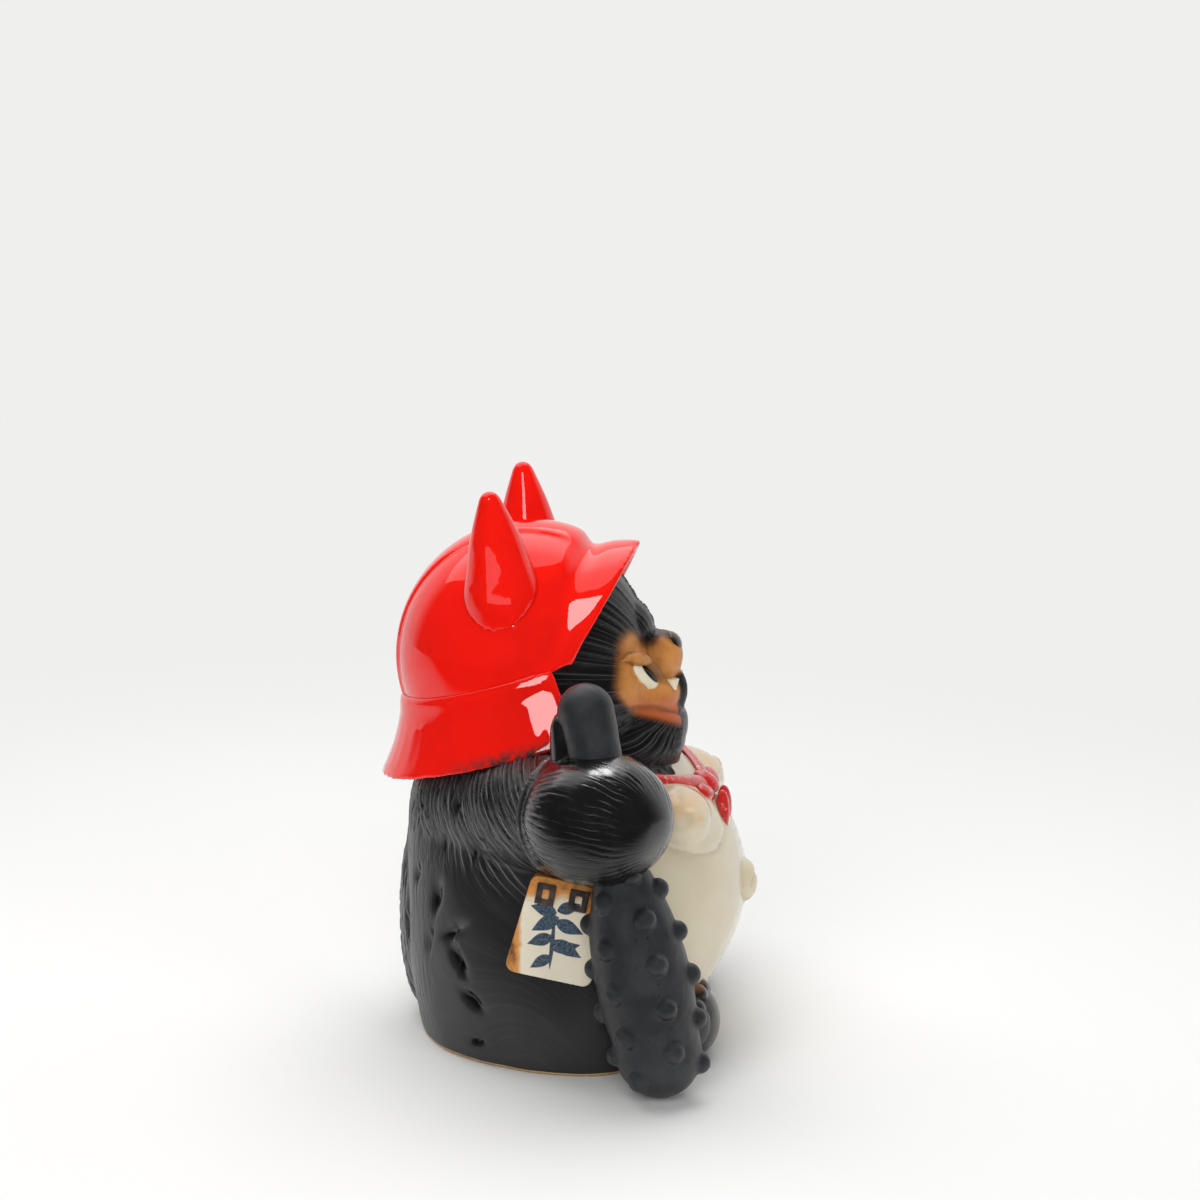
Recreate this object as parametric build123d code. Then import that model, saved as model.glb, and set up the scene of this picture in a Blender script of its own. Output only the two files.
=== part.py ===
from build123d import *
import math
import os

# Tanuki figure in a war helmet, hollow fired clay, sizes in millimetres.
# Front is -Y, up is +Z, the figure's right hand is on -X and the floor is z = 0.

# Clay walls and the luting seams between curved pieces
WALL = 6.5
LUTE_GAP = 0.3
VENT_RADIUS = 1.5

# Body: reach to the front, reach to the back and half width at six heights
FOOT_FRONT = 54.0
FOOT_BACK = 86.0
FOOT_HALF_WIDTH = 97.0
HAUNCH_HEIGHT = 24.0
HAUNCH_FRONT = 66.0
HAUNCH_BACK = 90.0
HAUNCH_HALF_WIDTH = 100.0
BELLY_HEIGHT = 66.0
BELLY_FRONT = 85.0
BELLY_BACK = 93.0
BELLY_HALF_WIDTH = 97.0
CHEST_HEIGHT = 108.0
CHEST_FRONT = 77.0
CHEST_BACK = 92.0
CHEST_HALF_WIDTH = 87.0
SHOULDER_HEIGHT = 138.0
SHOULDER_FRONT = 58.0
SHOULDER_BACK = 86.0
SHOULDER_HALF_WIDTH = 71.0
NECK_HEIGHT = 152.0
NECK_FRONT = 44.0
NECK_BACK = 70.0
NECK_HALF_WIDTH = 57.0
# Where the body is widest, low down and at the neck, and how square its plan is
WIDEST_LOW = -12.0
WIDEST_HIGH = 12.0
PLAN_SQUARENESS = 2.25
PLAN_POINTS = 16

# Cream belly: an oval of the body shell
BELLY_OVAL_HALF_WIDTH = 80.0
BELLY_OVAL_BOTTOM = 10.0
BELLY_OVAL_TOP = 146.0
BREAST_SPREAD = 40.0
BREAST_HEIGHT = 120.0
BREAST_SINK = 16.0
BREAST_WIDE = 26.0
BREAST_DEEP = 20.0
BREAST_TALL = 17.0
NIPPLE_SPREAD = 43.0
NIPPLE_HEIGHT = 124.0
NIPPLE_RADIUS = 3.0
NAVEL_HEIGHT = 77.0
NAVEL_RING_RADIUS = 7.0
NAVEL_ROLL_RADIUS = 4.5

# Tail lying up the back
TAIL_HEIGHT = 58.0
TAIL_SINK = 9.0
TAIL_HALF_WIDTH = 38.0
TAIL_HALF_DEPTH = 13.5
TAIL_HALF_LENGTH = 57.0

# Legs and feet
LEG_SPREAD = 70.0
LEG_FORWARD = 36.0
LEG_HEIGHT = 21.0
LEG_HALF_WIDTH = 24.0
LEG_HALF_LENGTH = 38.0
LEG_HALF_HEIGHT = 22.0
FOOT_SPREAD = 55.0
FOOT_FORWARD = 61.0
FOOT_HEIGHT = 18.0
SOLE_HALF_WIDTH = 21.0
SOLE_HALF_DEPTH = 16.0
SOLE_HALF_HEIGHT = 19.0
TOE_COUNT = 4
TOE_RADIUS = 6.0
TOE_PITCH = 10.0
TOE_HEIGHT = 33.5
TOE_FORWARD = 65.0
TOE_DROOP = 0.022
LEFT_LEG_SETBACK = 12.0

# Arms, from inside the shoulder to inside the fist
ARM_ROOT_SPREAD = 36.0
ARM_ROOT_BACK = 58.0
ARM_ROOT_HEIGHT = 125.0
ARM_ROOT_RADIUS = 31.0
WRIST_RADIUS = 29.5
FIST_SPREAD = 108.0
FIST_FORWARD = 21.0
FIST_HEIGHT = 137.0
FIST_RADIUS = 34.0
FIST_WALL = 7.0
LEFT_FIST_SPREAD = 103.0
LEFT_FIST_FORWARD = 14.0
LEFT_FIST_HEIGHT = 92.0

# Club held through the right fist: axis, then radii along it
CLUB_FOOT_SPREAD = 120.0
CLUB_FOOT_FORWARD = 57.0
CLUB_CLEAR_OF_FLOOR = 1.5
CLUB_LEAN_OUT = 6.0
CLUB_LEAN_FORWARD = 13.0
CLUB_LENGTH = 207.0
CLUB_BELLY_RADIUS = 22.5
CLUB_FOOT_RADIUS = 21.0
CLUB_BELLY_AT = 40.0
CLUB_SHOULDER_RADIUS = 18.0
CLUB_SHOULDER_AT = 98.0
CLUB_GRIP_RADIUS = 12.8
CLUB_GRIP_FROM = 122.0
CLUB_GRIP_TO = 158.0
POMMEL_RADIUS = 13.8
CLUB_WALL = 6.0
STUD_RADIUS = 5.2
STUD_SINK = 0.4
STUD_COLUMNS = 6
STUD_ROWS = 5
STUD_FIRST_ROW = 24.0
STUD_ROW_PITCH = 22.0

# Account book in relief on the right flank, and its two binding ties
BOOK_FORWARD = -1.0
BOOK_MIDDLE_HEIGHT = 77.0
BOOK_TOP_WIDTH = 33.0
BOOK_BOTTOM_WIDTH = 45.0
BOOK_LENGTH = 52.0
BOOK_THICK = 5.0
BOOK_BEDDING = 12.0
BOOK_CORNER_RADIUS = 5.0
BOOK_TURN = -10.0
TIE_WIDTH = 9.5
TIE_LENGTH = 11.0
TIE_BAR = 3.0
TIE_RISE = 1.6
TIE_SPREAD = 8.3

# Sake flask at the left side
FLASK_SPREAD = 108.0
FLASK_FORWARD = 16.0
FLASK_BOTTOM = 2.0
FLASK_BODY_RADIUS = 25.0
FLASK_BODY_AT = 24.0
FLASK_NECK_RADIUS = 8.5
FLASK_NECK_AT = 58.0
FLASK_LIP_RADIUS = 11.5
FLASK_TALL = 72.0
FLASK_FOOT_RADIUS = 16.0

# Head under the helmet
HEAD_BACK = 28.0
HEAD_HEIGHT = 195.5
HEAD_RADIUS = 62.7
HEAD_WALL = 6.7
FACE_BACK = 12.0
FACE_HEIGHT = 180.0
FACE_HALF_WIDTH = 60.0
FACE_HALF_DEPTH = 52.0
FACE_HALF_HEIGHT = 52.0
MUZZLE_FORWARD = 16.0
MUZZLE_HEIGHT = 160.0
MUZZLE_HALF_WIDTH = 38.0
MUZZLE_HALF_DEPTH = 38.5
MUZZLE_HALF_HEIGHT = 29.0
CHIN_FORWARD = 30.0
CHIN_HEIGHT = 146.0
CHIN_HALF_WIDTH = 33.0
CHIN_HALF_DEPTH = 25.0
CHIN_HALF_HEIGHT = 15.0
BEARD_FORWARD = 20.0
BEARD_HEIGHT = 152.0
BEARD_HALF_WIDTH = 42.0
BEARD_HALF_DEPTH = 35.0
BEARD_HALF_HEIGHT = 24.0
LIP_FORWARD = 28.0
LIP_HEIGHT = 177.0
LIP_HALF_WIDTH = 30.0
LIP_HALF_DEPTH = 23.5
LIP_HALF_HEIGHT = 15.0
KEEL_FORWARD = 45.0
KEEL_HEIGHT = 177.0
KEEL_HALF_WIDTH = 7.0
KEEL_HALF_DEPTH = 9.0
KEEL_HALF_HEIGHT = 12.0
CHEEK_SPREAD = 13.0
CHEEK_FORWARD = 21.0
CHEEK_HEIGHT = 187.0
CHEEK_HALF_WIDTH = 21.0
CHEEK_HALF_DEPTH = 19.0
CHEEK_HALF_HEIGHT = 16.0
SNOUT_FORWARD = 40.5
SNOUT_HEIGHT = 196.3
SNOUT_HALF_WIDTH = 14.5
SNOUT_HALF_DEPTH = 11.2
SNOUT_HALF_HEIGHT = 13.6
NOSE_FORWARD = 45.2
NOSE_HEIGHT = 203.0
NOSE_HALF_WIDTH = 8.5
NOSE_HALF_DEPTH = 6.4
NOSE_HALF_HEIGHT = 6.4
EYE_SPREAD = 25.5
EYE_HEIGHT = 189.3
EYE_SINK = 4.3
EYE_HALF_LENGTH = 12.6
EYE_TURN = 36.0
EYE_HALF_HEIGHT = 5.8
EYE_HALF_DEPTH = 7.0
EYE_SLANT = 40.0
BROW_SPREAD = 30.0
BROW_HEIGHT = 201.0
BROW_SINK = -1.0
BROW_HALF_LENGTH = 11.0
BROW_HALF_HEIGHT = 3.6
BROW_HALF_DEPTH = 5.0
BROW_TURN = 36.0
BROW_SLANT = 16.0
FANG_SPREAD = 11.0
FANG_TOP_HEIGHT = 186.5
FANG_LENGTH = 10.0
FANG_RADIUS = 3.6
FANG_TIP_RADIUS = 0.9
FANG_SINK = 0.2

# Helmet: bowl, crest band, visor, neck guard and horns
HELMET_WALL = 6.0
RIM_TILT = 16.9
RIM_DROP = 2.2
FACE_OPENING = 30.0
CREST_RISE = 1.5
CREST_HALF_WIDTH = 17.0
VISOR_LENGTH = 29.0
VISOR_WALL = 5.0
VISOR_FLARE = 1.5
VISOR_START = 4.5
VISOR_DROP = 2.5
GUARD_SWEEP = 108.0
GUARD_DROP = 38.0
GUARD_TOP_RADIUS = 71.0
GUARD_BACK_RADIUS = 95.0
GUARD_SIDE_RADIUS = 85.0
GUARD_WALL = 6.5
GUARD_HOLLOW = 2.5
GUARD_SECTIONS = 9
HORN_SPREAD = 48.0
HORN_BACK = 36.2
HORN_LENGTH = 44.5
HORN_ROOT = 34.0
HORN_ROOT_RADIUS = 20.0
HORN_FLARE = 12.0
HORN_RADIUS = 17.6
HORN_MIDDLE_RADIUS = 11.6
HORN_TIP_RADIUS = 5.6
HORN_LEAN_OUT = 9.0
HORN_LEAN_BACK = 6.0
HORN_WALL = 4.5

# Chin cord with its knot, bow and tails
CORD_RADIUS = 4.0
CORD_RISE = 20.0
CORD_SWEEP = 78.0
CORD_STEPS = 5
KNOT_HALF_WIDTH = 8.0
KNOT_HALF_DEPTH = 7.0
KNOT_HALF_HEIGHT = 6.5
KNOT_HEIGHT = 129.0
LOOP_SPREAD = 15.0
LOOP_DROP = 2.0
LOOP_HALF_LENGTH = 10.0
LOOP_HALF_HEIGHT = 5.5
LOOP_HALF_DEPTH = 5.0
LOOP_TURN = 14.0
TAIL_END_SPREAD = 7.5
TAIL_END_DROP = 14.0
TAIL_END_HALF_LENGTH = 12.0
TAIL_END_HALF_WIDTH = 4.2
TAIL_END_HALF_DEPTH = 4.0
TAIL_END_TURN = 14.0

# A block larger than the figure, for cutting on a plane
BLOCK = 600.0
# Poles of round pieces, turned away from the mid-plane and the seams of their neighbours
EGG_POLES = Rot(25, 40, 15)
# Ways in which a turned profile starts and ends, as (radius, height), and its nearest to the axis
INWARD = (-1, 0, 0)
UPWARD = (0, 1, 0)
ON_AXIS = 0.001


def ellipsoid(half_sizes, centre, turns=(0, 0, 0)):
    """Egg of three half sizes, turned about its own centre."""
    return Location(centre, turns) * scale(EGG_POLES * Sphere(1), by=half_sizes)


def biggest(shape):
    """The one solid that matters after a cut."""
    return max(shape.solids(), key=lambda solid: solid.volume)


def remains(shape, *others):
    """Solids left of a shape once its neighbours are taken away."""
    pieces = list(shape.solids())
    for other in others:
        pieces = [solid for piece in pieces for solid in (piece - other).solids()]
    return pieces


def cut(shape, *others):
    """The main solid left of a shape once its neighbours are taken away."""
    return max(remains(shape, *others), key=lambda solid: solid.volume)


def mirrored(shape):
    """The same piece on the figure's left side."""
    return biggest(mirror(shape, about=Plane.YZ))


def seat(solid, start, way):
    """Point where a line from outside first meets a solid."""
    hits = solid.find_intersection_points(Axis(start, way))
    here = Vector(*start)
    return min((point for point, normal in hits), key=lambda point: (point - here).length)


def front_of(solid, spread, height):
    """Point of the front surface at a distance from the mid-plane and a height."""
    return seat(solid, (spread, -BLOCK, height), (0, 1, 0))


def along(start, end):
    """Frame at the start whose Z runs to the end."""
    return Plane(origin=start, z_dir=Vector(*end) - Vector(*start))


def turned(curves, plane):
    """Solid of revolution from curves in (radius, height), listed from bottom to top."""
    start = curves[0] @ 0
    end = curves[-1] @ 1
    edges = list(curves) + [Line((0, end.Y), (0, start.Y))]
    if start.X > ON_AXIS:
        edges.append(Line((0, start.Y), (start.X, start.Y)))
    if end.X > ON_AXIS:
        edges.append(Line((end.X, end.Y), (0, end.Y)))
    return plane.location * Rot(90, 0, 0) * revolve(make_face(edges), Axis.Y)


def round_end(radius, pole, way):
    """Quarter circle between the axis at a pole height and a cylinder of that radius."""
    slant = radius * math.sqrt(0.5)
    on_axis = (0, pole)
    middle = (slant, pole + way * (radius - slant))
    rim = (radius, pole + way * radius)
    if way > 0:
        return ThreePointArc(on_axis, middle, rim)
    return ThreePointArc(rim, middle, on_axis)


def body_section(height, front, back, half_width, inset):
    """Plan of the body at one height: a squarish egg, wider behind than in front."""
    share = height / NECK_HEIGHT
    widest = WIDEST_LOW + (WIDEST_HIGH - WIDEST_LOW) * share
    power = 2 / PLAN_SQUARENESS
    points = []
    for step in range(PLAN_POINTS):
        turn = 2 * math.pi * step / PLAN_POINTS
        side = math.sin(turn)
        depth = math.cos(turn)
        reach = back - widest if depth > 0 else front + widest
        x = (half_width - inset) * math.copysign(abs(side) ** power, side)
        y = widest + (reach - inset) * math.copysign(abs(depth) ** power, depth)
        points.append((x, y, height))
    return make_face(Spline(*points, periodic=True))


def body_solid(inset, bottom, top):
    """The body's outside, or its hollow when inset by the wall."""
    stations = [
        (bottom, FOOT_FRONT, FOOT_BACK, FOOT_HALF_WIDTH),
        (HAUNCH_HEIGHT, HAUNCH_FRONT, HAUNCH_BACK, HAUNCH_HALF_WIDTH),
        (BELLY_HEIGHT, BELLY_FRONT, BELLY_BACK, BELLY_HALF_WIDTH),
        (CHEST_HEIGHT, CHEST_FRONT, CHEST_BACK, CHEST_HALF_WIDTH),
        (SHOULDER_HEIGHT, SHOULDER_FRONT, SHOULDER_BACK, SHOULDER_HALF_WIDTH),
        (top, NECK_FRONT, NECK_BACK, NECK_HALF_WIDTH),
    ]
    return biggest(loft([body_section(*station, inset) for station in stations]))


def leg_and_foot(side):
    """Thigh lying on the floor and the upturned foot with its toes."""
    floor = Pos(0, 0, -BLOCK / 2) * Box(BLOCK, BLOCK, BLOCK)
    setback = LEFT_LEG_SETBACK if side > 0 else 0
    leg = ellipsoid(
        (LEG_HALF_WIDTH, LEG_HALF_LENGTH, LEG_HALF_HEIGHT),
        (side * LEG_SPREAD, setback - LEG_FORWARD, LEG_HEIGHT),
    )
    foot = ellipsoid(
        (SOLE_HALF_WIDTH, SOLE_HALF_DEPTH, SOLE_HALF_HEIGHT),
        (side * FOOT_SPREAD, setback - FOOT_FORWARD, FOOT_HEIGHT),
    )
    for toe in range(TOE_COUNT):
        offset = (toe - (TOE_COUNT - 1) / 2) * TOE_PITCH
        height = TOE_HEIGHT - TOE_DROOP * offset ** 2
        spot = (side * FOOT_SPREAD + offset, setback - TOE_FORWARD, height)
        foot = foot + Pos(*spot) * Sphere(TOE_RADIUS)
    foot = cut(foot, floor, body)
    return cut(leg, floor, body, foot), foot


def club_solid():
    """Turned club: round foot, swelling belly, slim grip and knob."""
    foot = round_end(CLUB_FOOT_RADIUS, 0, 1)
    belly = Spline(
        (CLUB_FOOT_RADIUS, CLUB_FOOT_RADIUS),
        (CLUB_BELLY_RADIUS, CLUB_BELLY_AT),
        (CLUB_SHOULDER_RADIUS, CLUB_SHOULDER_AT),
        (CLUB_GRIP_RADIUS, CLUB_GRIP_FROM),
        tangents=(UPWARD, UPWARD),
    )
    grip = Line((CLUB_GRIP_RADIUS, CLUB_GRIP_FROM), (CLUB_GRIP_RADIUS, CLUB_GRIP_TO))
    swell = Spline(
        (CLUB_GRIP_RADIUS, CLUB_GRIP_TO),
        (POMMEL_RADIUS, CLUB_LENGTH - POMMEL_RADIUS),
        tangents=(UPWARD, UPWARD),
    )
    knob = round_end(POMMEL_RADIUS, CLUB_LENGTH, -1)
    return biggest(turned([foot, belly, grip, swell, knob], club_plane))


def club_hollow():
    """Hollow of the club's belly, drained by a fine hole in its foot."""
    low = round_end(CLUB_FOOT_RADIUS - CLUB_WALL, CLUB_WALL, 1)
    top = CLUB_SHOULDER_AT - CLUB_SHOULDER_RADIUS
    side = Line(low @ 1, (CLUB_SHOULDER_RADIUS - CLUB_WALL, top))
    high = round_end(CLUB_SHOULDER_RADIUS - CLUB_WALL, top + CLUB_SHOULDER_RADIUS - CLUB_WALL, -1)
    drain = club_plane.location * Cylinder(VENT_RADIUS, 2 * CLUB_BELLY_AT)
    return biggest(turned([low, side, high], club_plane)) + drain


def club_studs():
    """Rows of round studs pressed on the club, every other column half a row lower."""
    studs = []
    for column in range(STUD_COLUMNS):
        angle = 2 * math.pi * column / STUD_COLUMNS
        outward = club_plane.x_dir * math.cos(angle) + club_plane.y_dir * math.sin(angle)
        for row in range(STUD_ROWS):
            level = STUD_FIRST_ROW + (row - column % 2 / 2) * STUD_ROW_PITCH
            axis_point = club_plane.origin + club_plane.z_dir * level
            far_point = axis_point + outward * BLOCK
            centre = seat(club, tuple(far_point), tuple(outward * -1)) - outward * STUD_SINK
            stud = Pos(*centre) * Sphere(STUD_RADIUS)
            showing = remains(stud, club, right_fist, right_leg, body)
            if showing:
                studs.append(max(showing, key=lambda solid: solid.volume))
    return Compound(children=studs)


def account_book():
    """Tapering plaque bedded in the flank and two square ties over its top edge."""
    middle = seat(body, (-BLOCK, -BOOK_FORWARD, BOOK_MIDDLE_HEIGHT), (1, 0, 0))
    page = Plane(origin=middle, x_dir=(0, -1, 0), z_dir=(-1, 0, 0)) * Rot(0, 0, BOOK_TURN)
    outline = Polygon(
        (-BOOK_BOTTOM_WIDTH / 2, -BOOK_LENGTH / 2),
        (BOOK_BOTTOM_WIDTH / 2, -BOOK_LENGTH / 2),
        (BOOK_TOP_WIDTH / 2, BOOK_LENGTH / 2),
        (-BOOK_TOP_WIDTH / 2, BOOK_LENGTH / 2),
        align=None,
    )
    outline = fillet(outline.vertices(), BOOK_CORNER_RADIUS)
    slab = extrude(outline, BOOK_THICK + BOOK_BEDDING)
    book = page * Pos(0, 0, -BOOK_BEDDING) * slab
    ties = []
    for side in (-1, 1):
        ring = Box(TIE_WIDTH, TIE_LENGTH, TIE_RISE) - Box(
            TIE_WIDTH - 2 * TIE_BAR, TIE_LENGTH - 2 * TIE_BAR, TIE_RISE
        )
        place = Pos(
            side * TIE_SPREAD,
            BOOK_LENGTH / 2 - TIE_LENGTH / 2 - TIE_BAR,
            BOOK_THICK + TIE_RISE / 2,
        )
        ties.append(biggest(page * place * ring))
    return cut(book, body), Compound(children=ties)


def sake_flask():
    """Round-bellied flask hanging under the left fist against the flank."""
    stand = Plane(origin=(FLASK_SPREAD, -FLASK_FORWARD, FLASK_BOTTOM))
    side = Spline(
        (FLASK_FOOT_RADIUS, 0),
        (FLASK_BODY_RADIUS, FLASK_BODY_AT),
        (FLASK_NECK_RADIUS, FLASK_NECK_AT),
        (FLASK_LIP_RADIUS, FLASK_TALL),
    )
    return cut(turned([side], stand), body, left_fist, left_arm, left_leg)


def head_solid():
    """Skull ball under the helmet joined to the lower face."""
    skull = Pos(0, HEAD_BACK, HEAD_HEIGHT) * Sphere(HEAD_RADIUS)
    face = ellipsoid((FACE_HALF_WIDTH, FACE_HALF_DEPTH, FACE_HALF_HEIGHT), (0, FACE_BACK, FACE_HEIGHT))
    return skull + face


def on_face(spread, height, half_sizes, slant, turn, sink):
    """Flattened egg laid on the face, turned to the side and slanting down towards the nose."""
    side = math.copysign(1, spread)
    spot = front_of(head + muzzle, spread, height)
    outward = Vector(side * math.sin(math.radians(turn)), -math.cos(math.radians(turn)), 0)
    centre = spot - outward * sink
    lay = Plane(origin=centre, x_dir=(side * -outward.Y, side * outward.X, 0), z_dir=outward)
    return lay.location * ellipsoid(half_sizes, (0, 0, 0), (0, 0, side * slant))


def fang(side):
    """Pointed tooth hanging from the upper lip."""
    spot = front_of(face_front, side * FANG_SPREAD, FANG_TOP_HEIGHT)
    tooth = Cone(FANG_TIP_RADIUS, FANG_RADIUS, FANG_LENGTH)
    return cut(Pos(spot.X, spot.Y - FANG_RADIUS + FANG_SINK, spot.Z - FANG_LENGTH / 2) * tooth,
               head, muzzle, snout)


def helmet_frame():
    """Frame at the head's middle whose Z is the helmet's axis, tipped back."""
    return Location((0, HEAD_BACK, HEAD_HEIGHT), (-RIM_TILT, 0, 0))


def below_rim():
    """Everything under the plane of the bowl's rim."""
    return helmet_frame() * Pos(0, 0, -RIM_DROP - BLOCK / 2) * Box(BLOCK, BLOCK, BLOCK)


def before_opening():
    """Everything in front of the bowl's face opening."""
    return Pos(0, HEAD_BACK - FACE_OPENING - BLOCK / 2, HEAD_HEIGHT) * Box(BLOCK, BLOCK, BLOCK)


def helmet_ball(rise):
    """Ball of the bowl's outside, grown by a rise."""
    return Pos(0, HEAD_BACK, HEAD_HEIGHT) * Sphere(HEAD_RADIUS + LUTE_GAP + HELMET_WALL + rise)


def helmet_visor():
    """Bill: a flared tube ahead of the opening, cut slanting from the temples to the peak."""
    ball_radius = HEAD_RADIUS + LUTE_GAP + HELMET_WALL
    ring = math.sqrt(ball_radius ** 2 - FACE_OPENING ** 2)
    start = HEAD_BACK - FACE_OPENING
    tube = Cone(ring, ring + VISOR_FLARE, VISOR_LENGTH) - Cone(
        ring - VISOR_WALL, ring - VISOR_WALL + VISOR_FLARE, VISOR_LENGTH
    )
    tube = Pos(0, start - VISOR_LENGTH / 2, HEAD_HEIGHT - VISOR_DROP) * Rot(90, 0, 0) * tube
    slope = math.degrees(math.atan2(VISOR_LENGTH, ring - VISOR_START))
    keep = Pos(0, start, HEAD_HEIGHT + VISOR_START) * Rot(slope, 0, 0) * Pos(0, BLOCK / 2, 0)
    return biggest(tube & keep * Box(BLOCK, BLOCK, BLOCK))


def guard_section(angle):
    """Cross-section of the neck guard at an angle from the back."""
    bottom_radius = math.hypot(
        GUARD_BACK_RADIUS * math.cos(angle), GUARD_SIDE_RADIUS * math.sin(angle)
    )
    middle_radius = (GUARD_TOP_RADIUS + bottom_radius) / 2 - GUARD_HOLLOW

    def at(radius, height):
        return (radius * math.sin(angle), radius * math.cos(angle), height)

    middle = -(RIM_DROP + GUARD_DROP) / 2
    outside = Spline(at(GUARD_TOP_RADIUS, 0), at(middle_radius, middle), at(bottom_radius, -GUARD_DROP))
    inside = Spline(
        at(bottom_radius - GUARD_WALL, -GUARD_DROP),
        at(middle_radius - GUARD_WALL, middle),
        at(GUARD_TOP_RADIUS - GUARD_WALL, 0),
    )
    lip = Line(outside @ 1, inside @ 0)
    top = Line(inside @ 1, outside @ 0)
    return make_face([outside, lip, inside, top])


def neck_guard():
    """Flared skirt round the back of the neck, open at the face."""
    sweep = math.radians(GUARD_SWEEP)
    sections = []
    for step in range(GUARD_SECTIONS):
        sections.append(guard_section(sweep * (2 * step / (GUARD_SECTIONS - 1) - 1)))
    skirt = helmet_frame() * loft(sections)
    return biggest(skirt & below_rim())


def horn_solid(inset):
    """Right horn with its root inside the bowl, or its hollow when inset."""
    ball_radius = HEAD_RADIUS + LUTE_GAP + HELMET_WALL
    reach = math.hypot(HORN_SPREAD, HORN_BACK - HEAD_BACK)
    height = HEAD_HEIGHT + math.sqrt(ball_radius ** 2 - reach ** 2)
    base = Location((-HORN_SPREAD, HORN_BACK, height), (-HORN_LEAN_BACK, -HORN_LEAN_OUT, 0))
    root_radius = HORN_ROOT_RADIUS - inset
    root = Line((root_radius, -HORN_ROOT), (root_radius, -HORN_FLARE))
    taper = Spline(
        root @ 1,
        (HORN_RADIUS - inset, 0),
        (HORN_MIDDLE_RADIUS - inset, HORN_LENGTH / 2),
        (HORN_TIP_RADIUS * (1 - inset / HORN_RADIUS), HORN_LENGTH - HORN_TIP_RADIUS - inset),
        (0, HORN_LENGTH - inset),
        tangents=(UPWARD, INWARD),
    )
    return turned([root, taper], Plane(base))


def horn_vent():
    """Fine hole from the right horn's hollow through bowl and skull."""
    return Pos(-HORN_SPREAD, HORN_BACK, HEAD_HEIGHT) * Cylinder(
        VENT_RADIUS, 2 * HEAD_RADIUS, align=(Align.CENTER, Align.CENTER, Align.MIN)
    )


def arm_solid(side, fist):
    """A tapering limb from inside the shoulder to the fist's middle, and the fine vent along it."""
    root = (side * ARM_ROOT_SPREAD, ARM_ROOT_BACK, ARM_ROOT_HEIGHT)
    length = (Vector(*fist) - Vector(*root)).length
    limb = Cone(ARM_ROOT_RADIUS, WRIST_RADIUS, length, align=(Align.CENTER, Align.CENTER, Align.MIN))
    vent = Cylinder(VENT_RADIUS, length, align=(Align.CENTER, Align.CENTER, Align.MIN))
    return along(root, fist).location * limb, along(root, fist).location * vent


def fist_ball(centre, inset):
    """Round fist, or its hollow when inset by the wall."""
    return Pos(*centre) * Sphere(FIST_RADIUS - inset)


def cord_half(side):
    """Half of the chin cord, lying on the chest from the knot round to the shoulder."""
    points = []
    for step in range(CORD_STEPS):
        share = step / (CORD_STEPS - 1)
        angle = math.radians(CORD_SWEEP) * share
        way = (-side * math.sin(angle), math.cos(angle), 0)
        height = KNOT_HEIGHT + CORD_RISE * share
        start = (-way[0] * BLOCK, -way[1] * BLOCK, height)
        points.append(seat(body, start, way))
    path = Spline(*points)
    return sweep(Plane(origin=path @ 0, z_dir=path % 0) * Circle(CORD_RADIUS), path)


# Body shell and the belly panel let into its front
body = body_solid(0, 0, NECK_HEIGHT)
hollow = body_solid(WALL, -LUTE_GAP, NECK_HEIGHT - WALL)
right_grip = (-FIST_SPREAD, -FIST_FORWARD, FIST_HEIGHT)
left_grip = (LEFT_FIST_SPREAD, -LEFT_FIST_FORWARD, LEFT_FIST_HEIGHT)
right_limb, right_vent = arm_solid(-1, right_grip)
left_limb, left_vent = arm_solid(1, left_grip)
neck_vent = Pos(0, HEAD_BACK, NECK_HEIGHT) * Cylinder(VENT_RADIUS, BLOCK / 4)
shell = body - hollow - right_vent - left_vent - neck_vent
oval = Ellipse(BELLY_OVAL_HALF_WIDTH, (BELLY_OVAL_TOP - BELLY_OVAL_BOTTOM) / 2)
oval_block = Pos(0, 0, (BELLY_OVAL_TOP + BELLY_OVAL_BOTTOM) / 2) * Rot(90, 0, 0) * extrude(oval, BLOCK)
torso_shell = cut(shell, oval_block)
belly_panel = biggest(shell & oval_block)

# Head, muzzle and face
head = head_solid()
jaw = ellipsoid((MUZZLE_HALF_WIDTH, MUZZLE_HALF_DEPTH, MUZZLE_HALF_HEIGHT),
                (0, -MUZZLE_FORWARD, MUZZLE_HEIGHT))
chin = ellipsoid((CHIN_HALF_WIDTH, CHIN_HALF_DEPTH, CHIN_HALF_HEIGHT), (0, -CHIN_FORWARD, CHIN_HEIGHT))
lip = ellipsoid((LIP_HALF_WIDTH, LIP_HALF_DEPTH, LIP_HALF_HEIGHT), (0, -LIP_FORWARD, LIP_HEIGHT))
beard = ellipsoid((BEARD_HALF_WIDTH, BEARD_HALF_DEPTH, BEARD_HALF_HEIGHT),
                  (0, -BEARD_FORWARD, BEARD_HEIGHT))
keel = ellipsoid((KEEL_HALF_WIDTH, KEEL_HALF_DEPTH, KEEL_HALF_HEIGHT), (0, -KEEL_FORWARD, KEEL_HEIGHT))
cheek_sizes = (CHEEK_HALF_WIDTH, CHEEK_HALF_DEPTH, CHEEK_HALF_HEIGHT)
right_cheek = ellipsoid(cheek_sizes, (-CHEEK_SPREAD, -CHEEK_FORWARD, CHEEK_HEIGHT))
left_cheek = mirrored(right_cheek)
muzzle = cut(jaw + chin + lip + beard + keel + right_cheek + left_cheek, head, body)
skull_hollow = Pos(0, HEAD_BACK, HEAD_HEIGHT) * Sphere(HEAD_RADIUS - HEAD_WALL)
horn_vents = horn_vent() + mirrored(horn_vent())
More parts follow.
